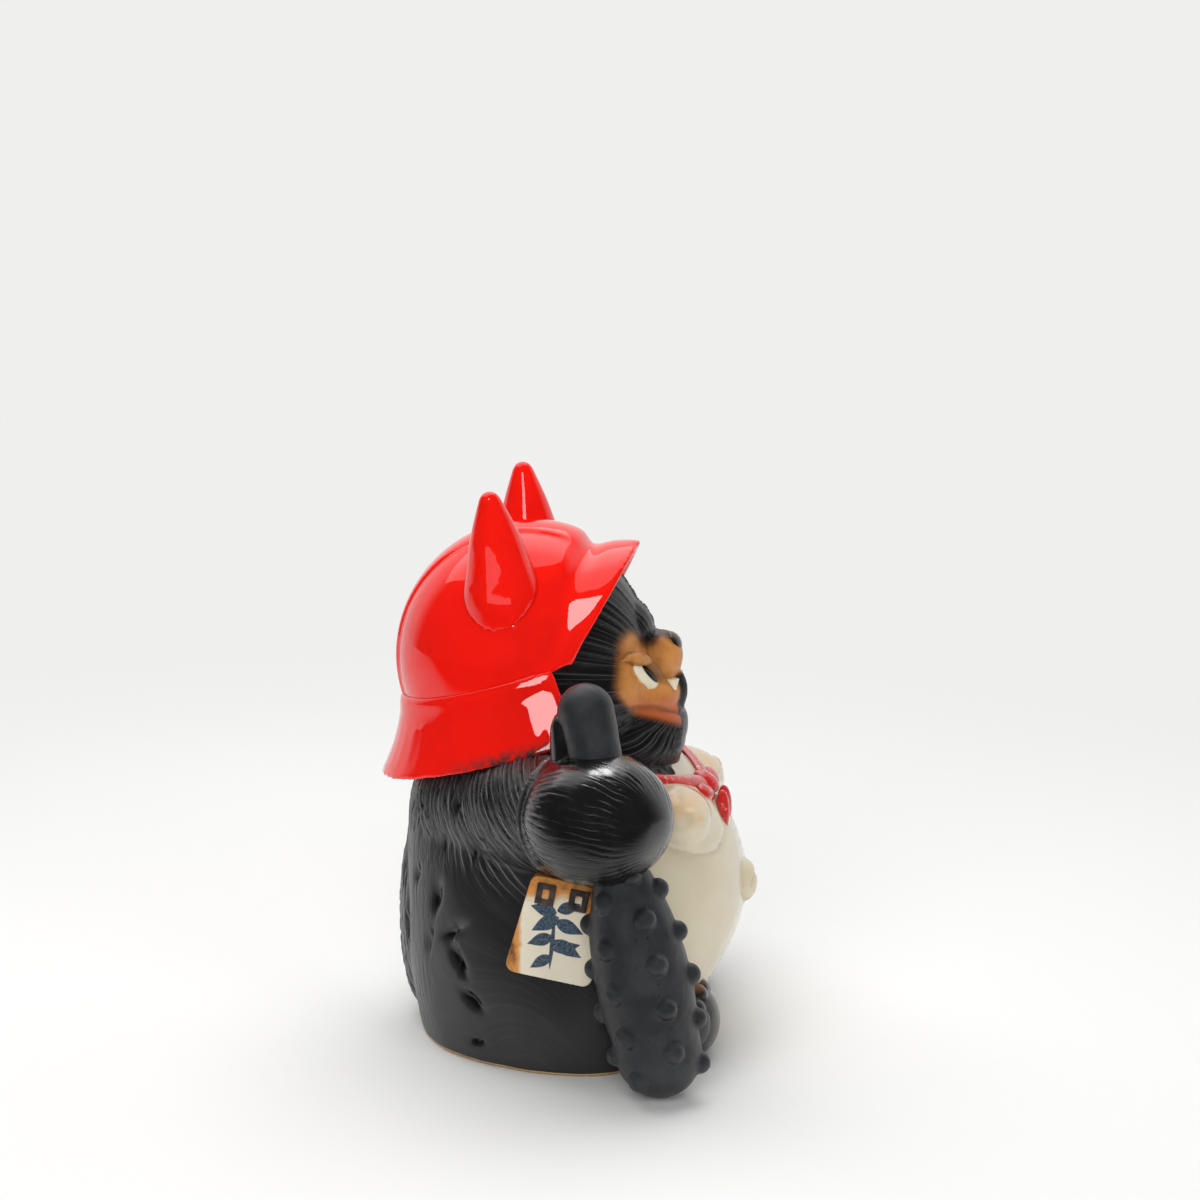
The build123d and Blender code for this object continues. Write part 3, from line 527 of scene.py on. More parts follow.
class TANUKI_OT_body(bpy.types.Operator):
    """Model the furry body with arms, legs and tail, and the cream belly let into it"""

    bl_idname = "tanuki.body"
    bl_label = "Body and belly"

    def execute(self, context):
        shell = cast("torso_shell", "belly_panel")
        plug = hull_of(shell, 0.985)
        limbs = cast("right_arm", "left_arm", "right_leg", "left_leg")
        tail = cast("tail")
        bosom = cast("right_breast", "left_breast")
        shoulder = egg((-79.0, 18.0, 134.5), (24.0, 28.0, 24.0))
        skin = outermost(kneaded([shell, plug, limbs, tail, bosom, shoulder], 1.35, 22))
        set_back(skin)
        self.model_belly(skin)
        self.carve(skin)
        glaze = fur_glaze()
        belly = self.split(skin)
        settle(belly, "belly", glaze, "cream_glaze",
               "belly_panel", "right_breast", "left_breast", "nipples", "navel_ring")
        settle(skin, "fur_body", glaze, "black_glaze",
               "torso_shell", "right_arm", "left_arm", "right_leg", "left_leg", "tail")
        return {"FINISHED"}

    def model_belly(self, skin):
        """Swells the navel button with its split, the nipples and the fold under the breasts."""
        navel_radius, navel_rise, split_depth, nipple_rise, breast_rise = 11.0, 6.2, 3.0, 2.6, 3.4
        x, y, z = points(skin).T
        front = y < 0.0
        reach = np.hypot(x, z - NAVEL_HEIGHT)
        split = split_depth * hump(z - NAVEL_HEIGHT - 2.5 - 0.3 * x, 1.7)
        rise = front * (navel_rise * dome(reach / navel_radius) - split * (1.0 - ease(6.0, 10.0, reach)))
        for side in (-1, 1):
            near = np.hypot(x - side * NIPPLE_OUT, z - NIPPLE_HEIGHT)
            rise += front * nipple_rise * (1.0 - ease(1.5, 4.6, near))
            fold = np.hypot((x - side * 40.0) / 27.0, (z - 121.0) / 17.0)
            rise += front * breast_rise * dome(fold)
            rise -= front * ease(126.0, 112.0, z) * hump(fold - 1.03, 0.10)
        press(skin, rise)

    def carve(self, skin):
        """Combs the fur, gouges the tail's border and keeps what the glaze needs."""
        spots = points(skin)
        x, y, z = spots.T
        across, along, turn = body_flow(spots)
        square = 2.6
        oval = (np.abs(x) / BELLY_HALF_WIDTH) ** square
        oval = (oval + (np.abs(z - BELLY_MIDDLE_HEIGHT) / BELLY_HALF_HEIGHT) ** square) ** (1.0 / square)
        cord = 129.0 + 0.27 * np.abs(x)
        throat = ease(-3.0, 3.0, np.abs(x) - 24.0 + 0.9 * (z - cord)) * ease(cord, cord + 3.0, z)
        belly = np.where(y < 5.0, np.maximum(oval, 1.3 * throat), 2.0)
        furred = ease(0.98, 1.12, belly)
        high = ease(82.0, 108.0, z - 0.30 * (90.0 - turn))
        tail = (1.0 - ease(0.85, 1.1, np.hypot(x / 40.0, (z - 55.0) / 60.0))) * (y > 40.0)
        back = ease(60.0, 25.0, turn)
        fur = furred * np.clip(high + 0.8 * tail + 0.35 * back, 0.03, 1.0) * ease(2.0, 8.0, z)
        pitch = sizes().fur_pitch / MM
        ridge = strokes(across, along, pitch, 34.0, 1) * fur
        nick = strokes(across + 0.5 * pitch, along, pitch, 15.0, 23) ** 1.5 * fur
        depth = sizes().fur_depth / MM
        rise = depth * (0.55 * ridge - 0.9 * nick) + 0.5 * grain(spots, (16.0, 16.0, 30.0), 3) * furred
        pits = self.gouges(spots)
        press(skin, rise - sizes().pit_depth / MM * pits)
        blush = 0.35 * hump(z - 132.0, 5.0) * (y < -20.0)
        for side in (-1, 1):
            near = np.hypot(x - side * NIPPLE_OUT, z - NIPPLE_HEIGHT)
            blush += 0.6 * hump(near, 3.5) * (y < 0.0)
        groove = np.clip(0.85 * nick + ease(0.15, 0.7, pits), 0.0, 1.0)
        remember(skin, ridge=ridge, across=across, along=along, groove=groove, fur=fur,
                 belly=np.clip(belly, 0.0, 2.0), blush=np.clip(blush, 0.0, 1.0))

    def gouges(self, spots):
        """Pits along the tail's border on both flanks, and a few nicks on the right shoulder."""
        pits = np.zeros(len(spots))
        shoulder_height = 100.0
        marks = (
            ((69.7, 66.3, 82.6), 3.2, 9.0, 10.0), ((79.0, 55.5, 68.5), 2.6, 10.0, 62.0),
            ((81.9, 52.6, 53.8), 3.0, 10.0, -38.0), ((87.5, 45.7, 34.8), 2.8, 9.0, -58.0),
            ((52.6, 77.8, 89.9), 2.6, 6.0, 30.0), ((37.5, 87.4, 59.7), 3.0, 14.0, 0.0),
            ((66.7, 68.9, 60.0), 2.4, 7.0, 20.0), ((89.7, 37.5, 119.2), 1.8, 5.0, 30.0),
            ((78.4, 45.6, 106.9), 1.7, 4.5, 25.0), ((79.1, 53.4, 133.3), 1.8, 5.0, 15.0),
            ((85.9, 43.1, 12.2), 1.3, 6.0, 85.0),
        )
        for middle, width, length, slant in marks:
            lean = math.radians(slant)
            for side in (-1, 1) if middle[2] < shoulder_height else (-1,):
                x, y, z = (spots - on_side(side, middle)).T
                level = np.hypot(x, y) * np.sign(y - side * 0.3 * x)
                long = z * math.cos(lean) - level * math.sin(lean)
                wide = z * math.sin(lean) + level * math.cos(lean)
                pits += np.exp(-((long / length) ** 2 + (wide / (1.35 * width)) ** 2) * 1.6)
        return np.clip(pits, 0.0, 1.0)

    def split(self, skin):
        """Parts the belly from the fur, gives it clay thickness and hollows the body from below."""
        belly_wall, lap, rim_width, hollow_height = 5.0 * MM, 8.0 * MM, 7.0 * MM, 105.0 * MM
        foot_height, hollow_taper = 1.2, (0.78, 0.78, 0.2)
        x, y, z = (read(skin.data.polygons, "center") / MM).T
        oval = np.hypot(x / (BELLY_HALF_WIDTH + 6.0), (z - BELLY_MIDDLE_HEIGHT) / (BELLY_HALF_HEIGHT + 3.0))
        pick(skin, "FACE", (y < 0.0) & (oval < 1.0))
        bpy.ops.mesh.separate(type="SELECTED")
        mode("OBJECT")
        belly = next(piece for piece in bpy.context.selected_objects if piece is not skin)
        shaped(belly, "SOLIDIFY", thickness=belly_wall, offset=-1.0)
        alone(skin)
        mode("EDIT")
        bpy.ops.mesh.select_mode(type="EDGE")
        bpy.ops.mesh.select_all(action="DESELECT")
        bpy.ops.mesh.select_non_manifold(extend=False)
        bpy.ops.mesh.extrude_region_move(TRANSFORM_OT_translate={"value": (0.0, lap, 0.0)})
        bpy.ops.mesh.edge_face_add()
        mode("OBJECT")
        height = read(skin.data.polygons, "center")[:, 2] / MM
        pick(skin, "FACE", (height < foot_height) & (read(skin.data.polygons, "normal")[:, 2] < -0.7))
        bpy.ops.mesh.inset(thickness=rim_width)
        bpy.ops.mesh.extrude_region_move(TRANSFORM_OT_translate={"value": (0.0, 0.0, hollow_height)})
        bpy.ops.transform.resize(value=hollow_taper)
        mode("OBJECT")
        spots = points(skin)
        spots[:, 2] = np.maximum(spots[:, 2], 0.0)
        put(skin, spots)
        return belly


def fist_glaze():
    """Glossy black glaze with faint hair lines."""
    g = Glaze("Fist glaze", coat=0.5, coat_roughness=0.14)
    cloud = g.noise(9.0)
    lines = g.combed(3.6, 20.0, 0.45, 6.0) * g.kept("hair")
    colour = g.layers(
        g.tints.deep_black,
        (cloud.ramp(0.45, 0.75) * 0.6, g.tints.black),
        (lines * 0.55, (0.07, 0.069, 0.067)),
        (g.kept("seam") * 0.8, (0.09, 0.086, 0.08)),
    )
    rough = 0.15 + cloud * 0.12 + g.kept("groove") * 0.1
    bumps = [(g.hair(1.3, 12.0, rough=0.55), 0.2), (lines, 0.4), (g.noise(1.1, 2.0), 0.04)]
    return g.coat(colour, rough, bumps)


class TANUKI_OT_fists(bpy.types.Operator):
    """Model both round fists with hair strokes and the mould seam at the wrist"""

    bl_idname = "tanuki.fists"
    bl_label = "Fists"

    def execute(self, context):
        glaze = fist_glaze()
        for side, middle, node in ((-1, RIGHT_FIST, "right_fist"), (1, LEFT_FIST, "left_fist")):
            self.model(side, middle, node, glaze)
        return {"FINISHED"}

    def sleeve(self, middle, wrist):
        """Short round cuff from the fist to the mould seam."""
        return lump(bpy.ops.mesh.primitive_cylinder_add, middle + 11.5 * wrist, facing(wrist),
                    vertices=96, radius=30.4 * MM, depth=26.0 * MM)

    def collar(self):
        """Rolled rim round the club where it leaves the fist."""
        height = 161.0
        spot = Vector(CLUB_FOOT) + Vector(CLUB_AXIS) * (height - CLUB_FOOT[2])
        return lump(bpy.ops.mesh.primitive_torus_add, spot, facing(CLUB_AXIS),
                    major_radius=14.6 * MM, minor_radius=3.5 * MM, major_segments=72, minor_segments=24)

    def model(self, side, middle, node, glaze):
        """One fist with its wrist; the right one also has a thumb and a collar round the club."""
        wrist = unit(on_side(side, ARM_ROOT) - middle)
        lumps = [egg(middle, (34.0, 37.0, 33.2), detail=6), self.sleeve(middle, wrist)]
        if side < 0:
            lumps += [self.collar(), egg((-101.0, -3.0, 172.0), (7.5, 7.0, 17.0))]
        ball = outermost(kneaded(lumps, 0.85, 7))
        grip = unit(np.array([side * -0.35, 0.93, 0.12]))
        out = np.cross(grip, (0.0, 0.0, 1.0))
        up = np.cross(unit(out), grip)
        away = points(ball) - middle
        level, along = away @ wrist, away @ grip
        radius, seam_level, stroke_count = 30.0, 24.0, 48
        across = radius * np.arctan2(away @ out, away @ up)
        ends = ease(-33.0, -27.0, level) * ease(seam_level, 19.0, level)
        hair = ends * (0.25 + 0.75 * np.maximum(ease(-6.0, 12.0, level), ease(-18.0, -28.0, level)))
        groove = strokes(across, along, radius * 2.0 * math.pi / stroke_count, 18.0, 2) * hair
        ring = np.linalg.norm(away - np.outer(level, wrist), axis=1) > 22.0
        seam = hump(level - seam_level, 0.8) * ring
        rise = -sizes().fist_depth / MM * groove + sizes().seam_rise / MM * seam
        press(ball, rise + 0.6 * grain(away, 15.0, 4))
        remember(ball, across=across, along=along, groove=groove, seam=seam, hair=hair)
        settle(ball, node, glaze, "black_glaze")


def head_glaze():
    """Black combed fur with a sprayed orange face that turns russet over the muzzle, black paint on the
    nose bridge and painted shade on the lids and in the face's creases.
    """
    g = Glaze("Head glaze", coat=0.12, coat_roughness=0.15, specular=0.3)
    groove, face, comb = g.kept("groove"), g.kept("face"), g.hair(1.4, 22.0)
    feather = (comb - 0.5) * 0.9 + (g.noise(7.0, 2.0) - 0.5) * 0.3
    edge = (face + feather * 0.33).ramp(0.18, 0.80)
    lines = g.combed(2.2, 60.0, 0.5, 3.0) * (1.0 - edge)
    stain = g.layers(
        g.tints.orange,
        (g.kept("russet"), g.tints.russet),
        (g.noise(7.0).ramp(0.40, 0.75) * 0.5, (0.36, 0.12, 0.03)),
        (face.ramp(0.98, 0.45) * 0.75, (0.17, 0.055, 0.015)),
        # Black paint on the nose bridge, with painted shade on the lids, round the snout and along the
        # smile crease
        (g.kept("soot"), (0.012, 0.010, 0.009)),
    )
    colour = g.layers(
        g.tints.deep_black,
        (groove * 0.4, (0.05, 0.048, 0.046)),
        (lines * 0.6, (0.11, 0.107, 0.103)),
        (edge, stain),
        (g.kept("throat"), g.tints.cream),
    )
    rough = 0.30 + edge * 0.10 + groove * 0.08
    return g.coat(colour, rough, [(comb * (1.0 - edge), 0.2), (lines, 0.4), (g.noise(1.2, 2.0), 0.05)])


class TANUKI_OT_head(bpy.types.Operator):
    """Model the furry head with its muzzle, snout and brows"""

    bl_idname = "tanuki.head"
    bl_label = "Head"

    def execute(self, context):
        forms = {
            "skull": (HEAD_MIDDLE, (62.7, 62.7, 62.7)),
            "face": ((0.0, 12.0, 180.0), (60.0, 52.0, 52.0)),
            "muzzle": ((0.0, -16.0, 160.0), (38.0, 38.5, 29.0)),
            "beard": ((0.0, -28.0, 143.0), (33.0, 22.5, 18.0)),
            "upper lip": ((0.0, -28.0, 177.0), (30.0, 23.5, 15.0)),
            "jaw": ((0.0, -19.0, 153.0), (42.0, 34.3, 24.0)),
            "keel": ((0.0, -45.0, 178.0), (7.0, 9.3, 13.5)),
            "snout": (SNOUT_MIDDLE, SNOUT_HALF_SIZES),
            "forehead": ((0.0, -19.6, 209.0), (20.0, 17.0, 18.0)),
        }
        lumps = [egg(*form) for form in forms.values()]
        cheek, cheek_half_sizes, lid_half_sizes = (13.0, -21.0, 187.0), (21.0, 19.0, 16.0), (11.0, 2.4, 4.0)
        for side in (-1, 1):
            lumps.append(egg(on_side(side, cheek), cheek_half_sizes))
            axes = eye_axes(side)
            lid = on_side(side, EYE_MIDDLE) + 6.4 * axes[1] + 2.5 * axes[2]
            lumps.append(egg(lid, lid_half_sizes, axes))
        skin = outermost(kneaded(lumps, 1.1, 8))
        self.comb(skin)
        settle(skin, "head_fur", head_glaze(), "black_glaze", "head_shell", "muzzle", "snout")
        ochre = plain_glaze("Brow glaze", (0.50, 0.21, 0.052), (0.24, 0.085, 0.02), 5.0, 0.4, 0.06)
        for side, node in ((-1, "right_brow"), (1, "left_brow")):
            brow = kneaded([cast(node)], 0.45, 3)
            self.sharpen(brow, side)
            settle(brow, node, ochre, "face_glaze")
        return {"FINISHED"}

    def sharpen(self, brow, side):
        """Draws the outer end of a brow to a point and brings the brow forward."""
        spots = points(brow)
        middle = (spots.min(axis=0) + spots.max(axis=0)) / 2.0
        flat = np.array([side * math.cos(EYE_TURN), math.sin(EYE_TURN), 0.0])
        away = spots - middle
        level = away @ flat
        along = np.outer(level, flat)
        slim = 1.0 - 0.8 * ease(1.0, 10.0, level)
        put(brow, middle + along * 1.08 + (away - along) * slim[:, None] + np.array([0.0, -1.8, -0.4]))

    def comb(self, skin):
        """Combs fur out from the face, creases the smile and keeps what the glaze needs, among it painted
        shade for the lids and creases.
        """
        spots = points(skin)
        x, y, z = spots.T
        out = np.abs(x)
        face_radius = 46.0
        across = np.arctan2(x, z - FACE_HEIGHT) * face_radius
        along = np.hypot(x, z - FACE_HEIGHT) - 0.8 * y
        low = 160.5 + 0.0105 * x ** 2
        mask = ease(-15.0, -29.0, y) * ease(221.0, 207.0, z) * ease(low - 6.0, low + 6.0, z)
        hair = ease(27.0, 9.0, out) * ease(196.0, 211.0, z) * ease(-45.0, -34.0, y)
        wide = 4.5 + 5.0 * ease(182.0, 166.0, z)
        keel = ease(wide + 3.5, wide - 1.5, out) * ease(190.0, 185.0, z)
        face = mask * (1.0 - hair) * (1.0 - keel)
        furred = 1.0 - ease(0.15, 0.75, face)
        groove = strokes(across, along, 4.6, 40.0, 7) * furred * (1.0 - keel)
        lift = 0.42 * np.clip(out - 9.0, 0.0, 16.0) + 0.15 * np.maximum(out - 25.0, 0.0)
        smile = hump(z - 167.3 - lift, 1.3) * ease(40.0, 33.0, out) * (y < -20.0)
        press(skin, sizes().head_rise / MM * groove - 1.1 * smile)
        bridge = np.hypot(x / 9.0, (z - 209.0) / 5.0) + 0.05 * np.abs(y + 47.0)
        # Black paint on the nose bridge
        soot = 0.9 * np.clip(1.0 - ease(0.7, 1.7, bridge), 0.0, 1.0)
        # Painted shade on the upper lids, under the brows
        for side in (-1, 1):
            long, high, _ = ((spots - on_side(side, EYE_MIDDLE)) @ way for way in eye_axes(side))
            lid = np.hypot(long / 12.0, (high - 5.4) / 3.0)
            soot = np.maximum(soot, 0.65 * (1.0 - ease(0.6, 1.4, lid)) * (y < -10.0))
        # Painted shade in the crease round the snout, and below along the smile crease
        ball = np.linalg.norm((spots - SNOUT_MIDDLE) / SNOUT_HALF_SIZES, axis=1)
        crease = hump(ball - 1.10, 0.13) * ease(-47.0, -41.0, y) * (z > 180.0)
        remember(skin, across=across, along=along, groove=groove, face=face, russet=ease(186.0, 168.0, z),
                 soot=np.maximum(np.maximum(soot, 0.55 * crease), 0.45 * smile),
                 throat=ease(142.0, 138.0, z) * (y < -10.0) * ease(26.0, 20.0, out))


def eye_glaze():
    """Cream eye with a black pupil under its upper lid and a dark outline."""
    g = Glaze("Eye glaze", roughness=0.16, coat=0.15, specular=0.1)
    colour = g.layers(
        (0.76, 0.70, 0.54),
        (g.noise(3.0).ramp(0.4, 0.8) * 0.3, (0.60, 0.50, 0.32)),
        (g.kept("pupil"), (0.006, 0.006, 0.007)),
        (g.kept("lid"), (0.10, 0.045, 0.012)),
    )
    return g.coat(colour, None, [(g.noise(1.0, 2.0), 0.02)])


class TANUKI_OT_eyes(bpy.types.Operator):
    """Model the slanting almond eyes"""

    bl_idname = "tanuki.eyes"
    bl_label = "Eyes"

    def execute(self, context):
        glaze = eye_glaze()
        for side, node in ((-1, "right_eye"), (1, "left_eye")):
            eye = kneaded([cast(node)], 0.42, 5)
            away = points(eye) - on_side(side, EYE_MIDDLE)
            long, high, _ = (away @ way for way in eye_axes(side))
            pupil = np.hypot((long - 0.5) / 7.4, (high - 2.9) / 2.9)
            lid = np.hypot(long / 12.4, high / 5.6)
            remember(eye, pupil=ease(1.05, 0.95, pupil), lid=ease(0.90, 0.98, lid))
            settle(eye, node, glaze, "eye_glaze")
        return {"FINISHED"}


def plain_glaze(name, first, second, size, roughness, coat=0.3, bump=0.05):
    """Two close colours clouded together, with a faintly uneven surface."""
    g = Glaze(name, coat=coat, coat_roughness=0.08)
    cloud = g.noise(size)
    colour = g.layers(first, (cloud.ramp(0.35, 0.75), second))
    return g.coat(colour, roughness + cloud * 0.1, [(g.noise(1.3, 2.0), bump)])


class TANUKI_OT_nose_and_fangs(bpy.types.Operator):
    """Model the nose pad and the two fangs"""

    bl_idname = "tanuki.nose_and_fangs"
    bl_label = "Nose and fangs"

    def execute(self, context):
        nose = kneaded([cast("nose_pad")], 0.5, 6)
        away = (points(nose) - SNOUT_MIDDLE) / SNOUT_HALF_SIZES
        reach = np.linalg.norm(away, axis=1)[:, None]
        put(nose, SNOUT_MIDDLE + SNOUT_HALF_SIZES * away / reach * (1.0 + 0.55 * (reach - 1.0)))
        deep_black = context.scene.tanuki_colours.deep_black
        glaze = plain_glaze("Nose glaze", deep_black, (0.05, 0.022, 0.01), 4.0, 0.2)
        settle(nose, "nose_pad", glaze, "nose_glaze")
        ivory = plain_glaze("Ivory glaze", (0.74, 0.68, 0.52), (0.62, 0.48, 0.26), 6.0, 0.1)
        for node in ("right_fang", "left_fang"):
            settle(kneaded([cast(node)], 0.35, 3), node, ivory, "ivory_glaze")
        return {"FINISHED"}


def red_glaze():
    """Thick glossy red glaze, darker where it pools, warmer where it thins, dark where it is smeared."""
    g = Glaze("Helmet glaze", coat=1.0, coat_roughness=0.03, specular=0.0)
    cloud = g.noise(26.0)
    smear = g.kept("smear") * g.noise(4.0).ramp(0.25, 0.6)
    colour = g.layers(
        g.tints.red,
        (cloud.ramp(0.45, 0.8) * 0.35, g.tints.dark_red),
        (g.noise(3.0, 2.0).ramp(0.62, 0.8) * 0.15, (0.80, 0.03, 0.008)),
        (smear, (0.045, 0.030, 0.028)),
    )
    rough = 0.14 + cloud * 0.06 + smear * 0.1
    return g.coat(colour, rough, [(g.noise(18.0, 2.0), 0.25), (g.noise(1.6, 2.0), 0.02)])


def visor_reach(y, z):
    """How far places lie forward of the visor's root, along the visor."""
    return -0.893 * (y + 2.0) - 0.45 * (z - 200.0)


class TANUKI_OT_helmet(bpy.types.Operator):
    """Model the helmet bowl with crest and visor, the fluted neck guard and the horns"""

    bl_idname = "tanuki.helmet"
    bl_label = "Helmet"

    def execute(self, context):
        crease_depth, line_depth, horn_rise = 2.6, 0.22, 0.7
        glaze = red_glaze()
        nodes = ("helmet_bowl", "crest_band", "visor")
        shell = kneaded([cast(*nodes)], 1.15, 8)
        soften(shell, 1.0, 30, 0.52)
        _, y, z = points(shell).T
        soften(shell, hump(y + 3.0, 8.0) * ease(196.0, 214.0, z), 70)
        _, y, z = points(shell).T
        soften(shell, ease(-9.0, -3.0, visor_reach(y, z)) * (z > 196.0), 34)
        spots = points(shell)
        _, y, z = spots.T
        root = visor_reach(y, z) + 12.0 + 10.0 * ease(203.0, 250.0, z)
        dip = hump(root, 5.5) * ease(196.0, 206.0, z)
        away = spots - HEAD_MIDDLE
        put(shell, spots - crease_depth * dip[:, None] * away / np.linalg.norm(away, axis=1)[:, None])
        spots = points(shell)
        x, y, z = spots.T
        bowl = np.linalg.norm(spots - HEAD_MIDDLE, axis=1) > 66.0
        press(shell, -line_depth * (hump(np.abs(x) - 17.6, 1.4) * bowl * (z > 190.0) * ease(2.0, 12.0, y)))
        remember(shell, smear=0.0)
        settle(shell, "helmet", glaze, "red_glaze", *nodes)
        self.guard(glaze)
        for node in ("right_horn", "left_horn"):
            horn = kneaded([cast(node)], 0.9, 5)
            press(horn, horn_rise)
            remember(horn, smear=0.0)
            settle(horn, node, glaze, "red_glaze")
        return {"FINISHED"}

    def guard(self, glaze):
        """Fluted neck guard with a rounded lip and a ledge drawn up over the bowl's rim."""
        ledge_rise, flute_count = 2.6, 44.0
        guard = kneaded([cast("neck_guard")], 1.15, 6)
        soften(guard, 1.0, 30, 0.52)
        spots = points(guard)
        level = (spots - HEAD_MIDDLE) @ GUARD_AXIS
        put(guard, spots + np.outer(ledge_rise * ease(-9.0, -3.0, level), GUARD_AXIS))
        soften(guard, np.maximum(ease(-31.0, -35.0, level), 0.6 * ease(-7.0, -3.0, level)), 36)
        x, y, _ = points(guard).T
        turn = np.arctan2(x, y - HEAD_MIDDLE[1])
        flutes = np.cos(turn * flute_count) * ease(-8.0, -18.0, level) * ease(-34.0, -28.0, level)
        press(guard, sizes().guard_flute / MM * flutes)
        lip = level.min()
        remember(guard, smear=ease(lip + 9.0, lip + 2.0, level) * ease(72.0, 30.0, y))
        settle(guard, "neck_guard", glaze, "red_glaze")


def iron_glaze():
    """Matt iron-grey glaze, mottled, with dark pinholes."""
    g = Glaze("Club glaze")
    cloud = g.noise(13.0, 4.0, 0.6)
    pits = g.noise(2.2, 1.0).ramp(0.70, 0.78)
    colour = g.layers(
        g.tints.iron,
        (cloud.ramp(0.35, 0.7), (0.032, 0.033, 0.036)),
        (pits * 0.7, (0.01, 0.01, 0.011)),
    )
    bumps = [(g.noise(5.0), 0.35), (pits, -0.35), (g.noise(0.9, 2.0), 0.06)]
    return g.coat(colour, 0.36 + cloud * 0.16, bumps)


class TANUKI_OT_club(bpy.types.Operator):
    """Model the studded club with its pommel"""

    bl_idname = "tanuki.club"
    bl_label = "Club"

    def execute(self, context):
        club = outermost(kneaded([cast("club", "club_studs")], 0.85, 3))
        spots = points(club)
        press(club, 0.3 + 0.45 * grain(spots, 16.0, 6) + 0.12 * grain(spots, 5.0, 8))
        settle(club, "club", iron_glaze(), "iron_glaze", "club", "club_studs")
        return {"FINISHED"}


def page_glaze():
    """Cream page with scorched edges and brushed indigo leaves."""
    g = Glaze("Page glaze", roughness=0.16, coat=0.4)
    mottle = g.noise(1.3, 3.0, 0.65)
    edge = g.kept("edge") + (g.noise(5.0) - 0.5) * 0.5
    wash = g.layers(g.tints.indigo, (mottle.ramp(0.35, 0.65), (0.085, 0.12, 0.16)))
    colour = g.layers(
        (0.74, 0.68, 0.54),
        (g.noise(8.0).ramp(0.4, 0.8) * 0.3, (0.66, 0.56, 0.38)),
        (edge.ramp(0.38, 0.85), (0.62, 0.26, 0.06)),
        (edge.ramp(0.86, 1.15), (0.09, 0.035, 0.015)),
        ((g.kept("ink") + (mottle - 0.5) * 0.5).ramp(0.30, 0.72), wash),
    )
    return g.coat(colour, None, [(g.noise(4.0, 2.0), 0.12), (g.noise(1.0, 2.0), 0.03)])


def leaf(level, tall, start, slant, length, width):
    """Share of a brushed leaf: pointed at both ends, widest before its middle."""
    lean = math.radians(slant)
    level, tall = level - start[0], tall - start[1]
    long = level * math.cos(lean) + tall * math.sin(lean)
    wide = tall * math.cos(lean) - level * math.sin(lean)
    share = np.clip(long / length, 0.0, 1.0)
    half = width * np.sin(math.pi * share ** 0.75) ** 1.2
    inside = (long > 0.0) & (long < length)
    return np.where(inside, ease(half + 0.5, half - 0.5, np.abs(wide)), 0.0)


class TANUKI_OT_account_book(bpy.types.Operator):
    """Model the account book in relief, its brushed leaves and its two ties"""

    bl_idname = "tanuki.account_book"
    bl_label = "Account book"

    def execute(self, context):
        book = kneaded([cast("account_book")], 0.5, 10)
        spots = points(book)
        level = BOOK_MIDDLE[1] - spots[:, 1]
        tall = spots[:, 2] - BOOK_MIDDLE[2]
        stem = ((-3.0, -21.0), 84.0, 34.0, 1.1)
        blades = (
            ((1.0, 9.0), 165.0, 14.0, 3.4), ((2.0, 7.0), 208.0, 16.0, 3.7),
            ((1.0, 10.0), 18.0, 13.0, 3.2), ((0.0, 5.0), -25.0, 16.0, 3.6),
            ((-1.0, -3.0), 198.0, 14.0, 3.3), ((-1.0, -5.0), -32.0, 17.0, 3.6),
            ((-1.5, -10.0), 12.0, 15.0, 3.0), ((-2.0, -13.0), 212.0, 13.0, 2.9),
        )
        ink = np.max([leaf(level, tall, *stroke) for stroke in (stem, *blades)], axis=0)
        top_half, foot_half, page_height = 16.5, 22.5, 52.0
        half = top_half + (foot_half - top_half) * (page_height / 2.0 - tall) / page_height
        side = ease(half - 7.0, half + 1.5, np.abs(level + 0.10 * tall))
        top = ease(5.0, 24.0, tall)
        remember(book, ink=ink, edge=np.clip(np.maximum(side, 0.95 * top), 0.0, 1.2))
        settle(book, "account_book", page_glaze(), "page_glaze")
        ties = kneaded([cast("book_ties")], 0.4, 4)
        glaze = plain_glaze("Tie glaze", (0.020, 0.024, 0.030), (0.11, 0.06, 0.03), 5.0, 0.3)
        settle(ties, "book_ties", glaze, "tie_glaze")
        return {"FINISHED"}


def cord_glaze():
    """Red brushed in patches over a cream cord."""
    g = Glaze("Cord glaze", coat=0.5)
    brush = g.noise(3.2, 3.0, 0.6, distort=0.6)
    colour = g.layers(
        (0.70, 0.55, 0.42),
        (brush.ramp(0.26, 0.42), g.tints.cord),
        (g.noise(7.0).ramp(0.5, 0.8) * 0.5, (0.30, 0.012, 0.012)),
    )
    return g.coat(colour, 0.14 + brush * 0.1, [(g.noise(2.0, 2.0), 0.18)])


class TANUKI_OT_chin_cord(bpy.types.Operator):
    """Model the chin cord with its knot and bow"""

    bl_idname = "tanuki.chin_cord"
    bl_label = "Chin cord"

    def execute(self, context):
        glaze = cord_glaze()
        cord = kneaded([cast("chin_cord")], 0.6, 5)
        set_back(cord)
        settle(cord, "chin_cord", glaze, "cord_glaze")
        nodes = ("cord_knot", "bow_loops", "cord_tails")
        bow = kneaded([cast(*nodes)], 0.5, 4)
        set_back(bow)
        settle(bow, "cord_bow", glaze, "cord_glaze", *nodes)
        return {"FINISHED"}


def foot_glaze():
    """Black glaze worn to a rusty brown on top of the toes."""
    g = Glaze("Foot glaze", coat=0.3, coat_roughness=0.15)
    cloud = g.noise(8.0)
    colour = g.layers(
        g.tints.black,
        (cloud.ramp(0.4, 0.75) * 0.6, (0.05, 0.045, 0.042)),
        (g.kept("pad") * 0.8, (0.22, 0.09, 0.03)),
    )
    return g.coat(colour, 0.28 + cloud * 0.12, [(g.noise(4.0), 0.25), (g.noise(1.0, 2.0), 0.04)])


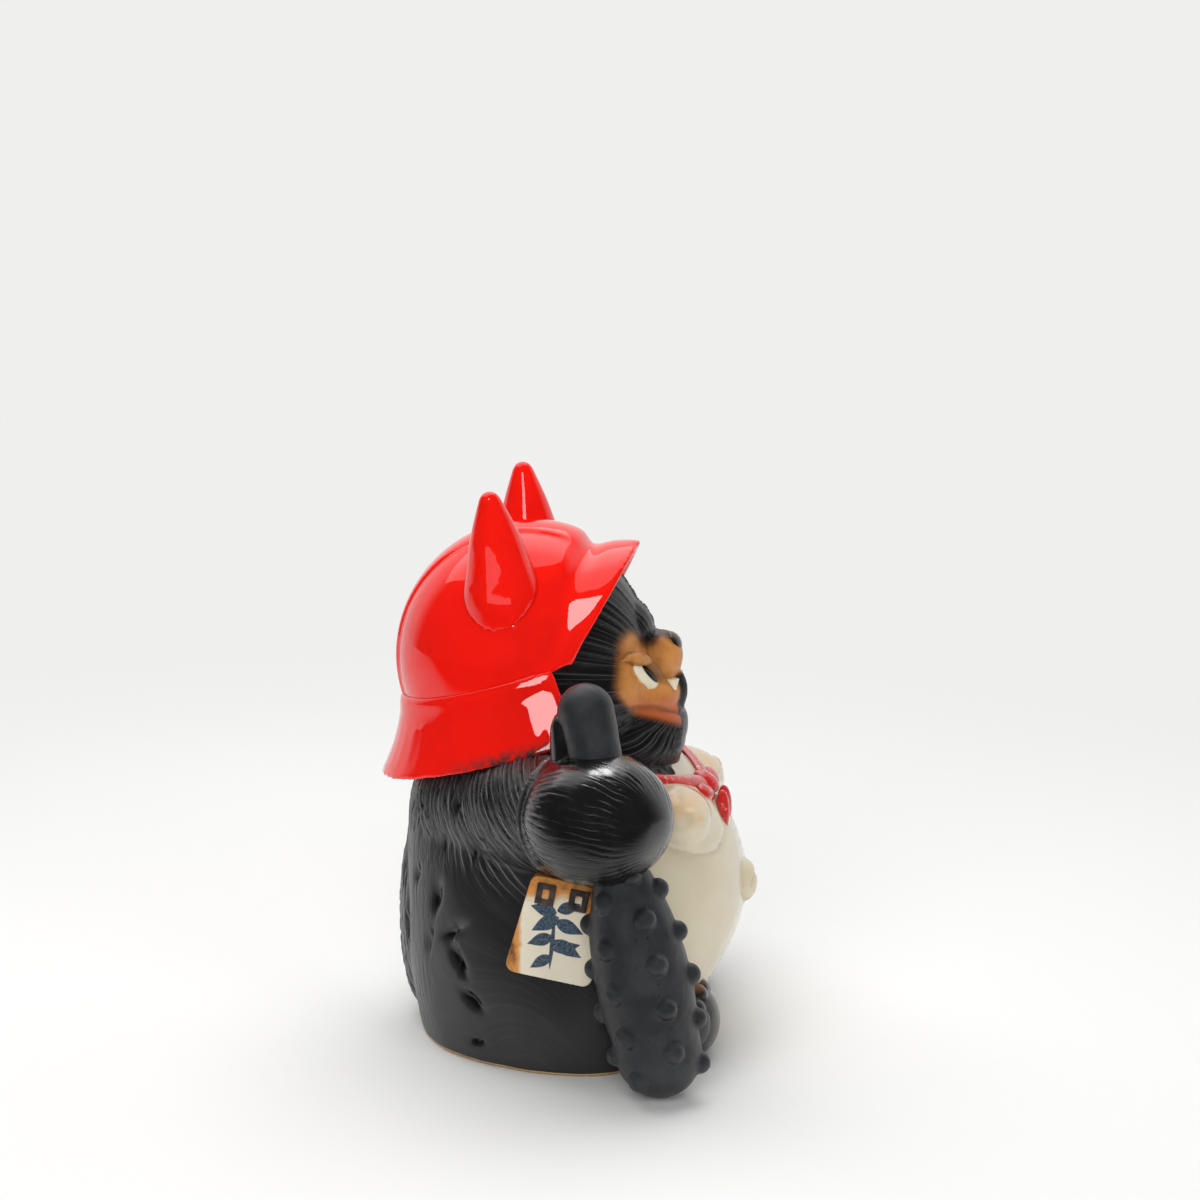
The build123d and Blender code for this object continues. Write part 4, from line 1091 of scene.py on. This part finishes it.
class TANUKI_OT_feet(bpy.types.Operator):
    """Model both feet with their raised toes"""

    bl_idname = "tanuki.feet"
    bl_label = "Feet"

    def execute(self, context):
        glaze = foot_glaze()
        for node in ("right_foot", "left_foot"):
            foot = kneaded([cast(node)], 0.75, 5)
            height = points(foot)[:, 2]
            top = height.max()
            remember(foot, pad=ease(top - 4.0, top - 0.5, height))
            settle(foot, node, glaze, "black_glaze")
        return {"FINISHED"}


def flask_glaze():
    """Cream glaze under a brown dipped shoulder with an uneven edge."""
    g = Glaze("Flask glaze", coat=0.6)
    cloud = g.noise(10.0)
    height = g.z + (g.noise(9.0) - 0.5) * 16.0
    colour = g.layers(
        g.tints.cream,
        (cloud.ramp(0.4, 0.75) * 0.5, (0.55, 0.42, 0.24)),
        (height.ramp(44.0, 52.0), (0.16, 0.065, 0.022)),
    )
    return g.coat(colour, 0.14 + cloud * 0.12, [(g.noise(6.0, 2.0), 0.2), (g.noise(1.2, 2.0), 0.03)])


class TANUKI_OT_sake_flask(bpy.types.Operator):
    """Model the round-bellied sake flask"""

    bl_idname = "tanuki.sake_flask"
    bl_label = "Sake flask"

    def execute(self, context):
        flask = kneaded([cast("sake_flask")], 0.9, 5)
        press(flask, 0.3 * grain(points(flask), 12.0, 9))
        settle(flask, "sake_flask", flask_glaze(), "flask_glaze")
        return {"FINISHED"}


class TANUKI_OT_stage(bpy.types.Operator):
    """Set up the pale sweep, the soft lamps and the camera"""

    bl_idname = "tanuki.stage"
    bl_label = "Stage"

    def execute(self, context):
        self.sweep()
        chest = (0.0, 0.0, 0.12)
        self.lamp("Overhead", (0.75, 0.45, 1.9), chest, 2.5, 2.0, 20.0)
        self.lamp("Overhead_soft", (0.4, 0.2, 2.0), chest, 2.2, 1.7, 24.0, glossy=False)
        self.lamp("Front_box", (-1.25, -1.5, 0.32), (0.0, 0.0, 0.18), 0.6, 1.1, 12.0, glossy=False)
        horns = ["right_horn", "left_horn"]
        for glint in (
            ("Guard_glint", ["neck_guard"], (-0.075, 0.01, 0.18), (-0.80, 0.05, 0.60), 0.60, 1.30, 24.0),
            ("Visor_glint", ["helmet"], (-0.055, -0.01, 0.225), (-0.50, 0.26, 0.74), 0.80, 1.00, 24.0),
            ("Fist_glint", ["right_fist"], (-0.11, -0.02, 0.17), (0.30, 0.0, 0.95), 0.55, 0.45, 9.0),
            ("Horn_glint", horns, (0.0, 0.04, 0.28), (-0.68, 0.06, 0.72), 0.35, 0.50, 3.8),
            ("Horn_panel", horns[:1], (-0.065, 0.04, 0.24), (-0.92, 0.06, -0.06), 2.0, 0.40, 3.2),
        ):
            self.glint(*glint)
        self.lamp("Fill", (-2.4, 0.2, 1.3), (0.0, 0.0, 0.15), 2.2, 1.6, 40.0, glossy=False)
        self.world()
        self.camera()
        context.scene.view_settings.view_transform = "Standard"
        return {"FINISHED"}

    def sweep(self):
        """Floor that curves up into a backdrop behind the figure."""
        size, rise, bend, back = 7.0, 3.5, 1.5, 3.0
        bpy.ops.object.select_all(action="DESELECT")
        bpy.ops.mesh.primitive_plane_add(size=size, location=(0.0, 0.0, 0.0))
        floor = bpy.context.object
        floor.name = "sweep"
        for step, settings in (
            (bpy.ops.mesh.extrude_region_move, {"TRANSFORM_OT_translate": {"value": (0.0, 0.0, rise)}}),
            (bpy.ops.mesh.bevel, {"offset": bend, "segments": 16}),
        ):
            ends = points(floor)[edge_ends(floor)] * MM
            pick(floor, "EDGE", ((ends[..., 0] > back) & (ends[..., 2] < 0.1)).all(axis=1))
            step(**settings)
            mode("OBJECT")
        bpy.ops.object.shade_smooth()
        floor.data.materials.append(self.paper())

    def paper(self):
        """White paper that the camera sees evenly bright away from the figure, with painted shade where it
        is mirrored on the camera's side.
        """
        g = Glaze("Sweep paper", roughness=0.9)
        rays = g.add("ShaderNodeLightPath", whole=True)
        camera, mirrored, through = (
            Wire(g, rays.outputs[f"Is {kind} Ray"]) for kind in ("Camera", "Glossy", "Transmission"))
        # Painted shade: seen in reflections on the camera's side, the paper turns near black, standing in
        # for the dim room there
        room = mirrored * g.x.ramp(-100.0, -340.0)
        material = g.coat(g.layers(
            (0.83, 0.83, 0.825), (g.noise(900.0, 2.0), (0.86, 0.86, 0.855)), (room, (0.03, 0.03, 0.03))))
        glow = g.add("ShaderNodeEmission", None, {"Color": (0.865, 0.865, 0.855)})
        seen = camera + through + mirrored * g.x.ramp(0.0, 600.0)
        away = g.add("ShaderNodeVectorMath", {"operation": "LENGTH"}, {0: g.spot}, out="Value")
        both = g.add("ShaderNodeMixShader", None, {0: seen * away.ramp(280.0, 1100.0), 2: glow}, whole=True)
        g.tree.links.new(g.shader.outputs[0], both.inputs[1])
        g.tree.links.new(both.outputs[0], g.tree.nodes["Material Output"].inputs["Surface"])
        return material

    def lamp(self, name, place, target, wide, tall, power, glossy=True):
        """Soft rectangular lamp that faces a point and isn't seen by the camera."""
        data = bpy.data.lights.new(name, "AREA")
        data.shape = "RECTANGLE"
        data.size, data.size_y, data.energy = wide, tall, power
        lamp = bpy.data.objects.new(name, data)
        bpy.context.collection.objects.link(lamp)
        lamp.location = place
        lamp.rotation_euler = facing(Vector(target) - Vector(place), "-Z")
        lamp.visible_camera = False
        lamp.visible_glossy = glossy
        return lamp

    def glint(self, name, pieces, spot, way, wide, tall, power):
        """Lamp that is only mirrored in some pieces, seen from a spot of them in one direction."""
        distance = 1.5
        place = Vector(spot) + Vector(way).normalized() * distance
        lamp = self.lamp(name, place, spot, wide, tall, power)
        lamp.visible_diffuse = False
        mirror = bpy.data.collections.new(name + "_mirror")
        for piece in pieces:
            mirror.objects.link(bpy.data.objects[piece + "_glazed"])
        lamp.light_linking.receiver_collection = mirror

    def world(self):
        """Pale light from the backdrop's side, dim from the camera's, that the camera sees as even."""
        world = bpy.data.worlds.new("Pale room")
        bpy.context.scene.world = world
        world.use_nodes = True
        room = Nodes(world.node_tree)
        way = room.add("ShaderNodeTexCoord", out="Generated")
        depth = room.add("ShaderNodeSeparateXYZ", None, {0: way}, out="X")
        values = {"Value": depth, "From Min": 0.28, "From Max": 0.50, "To Min": 0.07, "To Max": 0.80}
        light = room.add("ShaderNodeMapRange", None, values)
        camera = room.add("ShaderNodeLightPath", out="Is Camera Ray")
        strength = room.add("ShaderNodeMix", None, {0: camera, 2: light, 3: 0.86})
        background = room.tree.nodes["Background"]
        background.inputs["Color"].default_value = (1.0, 1.0, 0.99, 1.0)
        room.tree.links.new(strength.socket, background.inputs["Strength"])

    def camera(self):
        """Camera level with the figure's right side, a little to its front and above."""
        place, way = Vector((-1416.6, -187.2, 497.1)) * MM, (0.97454, 0.12311, -0.18738)
        data = bpy.data.cameras.new("Camera")
        data.sensor_width, data.lens, data.clip_end = 36.0, 84.0, 50.0
        camera = bpy.data.objects.new("Camera", data)
        bpy.context.collection.objects.link(camera)
        camera.location = place
        camera.rotation_euler = facing(way, "-Z")
        bpy.context.scene.camera = camera


PIECES = (
    TANUKI_OT_body, TANUKI_OT_fists, TANUKI_OT_feet, TANUKI_OT_head, TANUKI_OT_eyes,
    TANUKI_OT_nose_and_fangs, TANUKI_OT_helmet, TANUKI_OT_club, TANUKI_OT_account_book,
    TANUKI_OT_chin_cord, TANUKI_OT_sake_flask, TANUKI_OT_stage,
)


class TANUKI_PT_sidebar(bpy.types.Panel):
    """Lists the steps that model the figure"""

    bl_label = "Tanuki figure"
    bl_space_type = "VIEW_3D"
    bl_region_type = "UI"
    bl_category = "Tanuki"

    def draw(self, context):
        for piece in PIECES:
            self.layout.operator(piece.bl_idname)
        for group in (context.scene.tanuki_sizes, context.scene.tanuki_colours):
            for name in group.__annotations__:
                self.layout.prop(group, name)


CLASSES = (TanukiSizes, TanukiColours, *PIECES, TANUKI_PT_sidebar)


def register():
    for kind in CLASSES:
        bpy.utils.register_class(kind)
    bpy.types.Scene.tanuki_sizes = bpy.props.PointerProperty(type=TanukiSizes)
    bpy.types.Scene.tanuki_colours = bpy.props.PointerProperty(type=TanukiColours)


def unregister():
    del bpy.types.Scene.tanuki_colours
    del bpy.types.Scene.tanuki_sizes
    for kind in reversed(CLASSES):
        bpy.utils.unregister_class(kind)


def main():
    register()
    for piece in PIECES:
        group, name = piece.bl_idname.split(".")
        getattr(getattr(bpy.ops, group), name)()


if __name__ == "__main__":
    main()
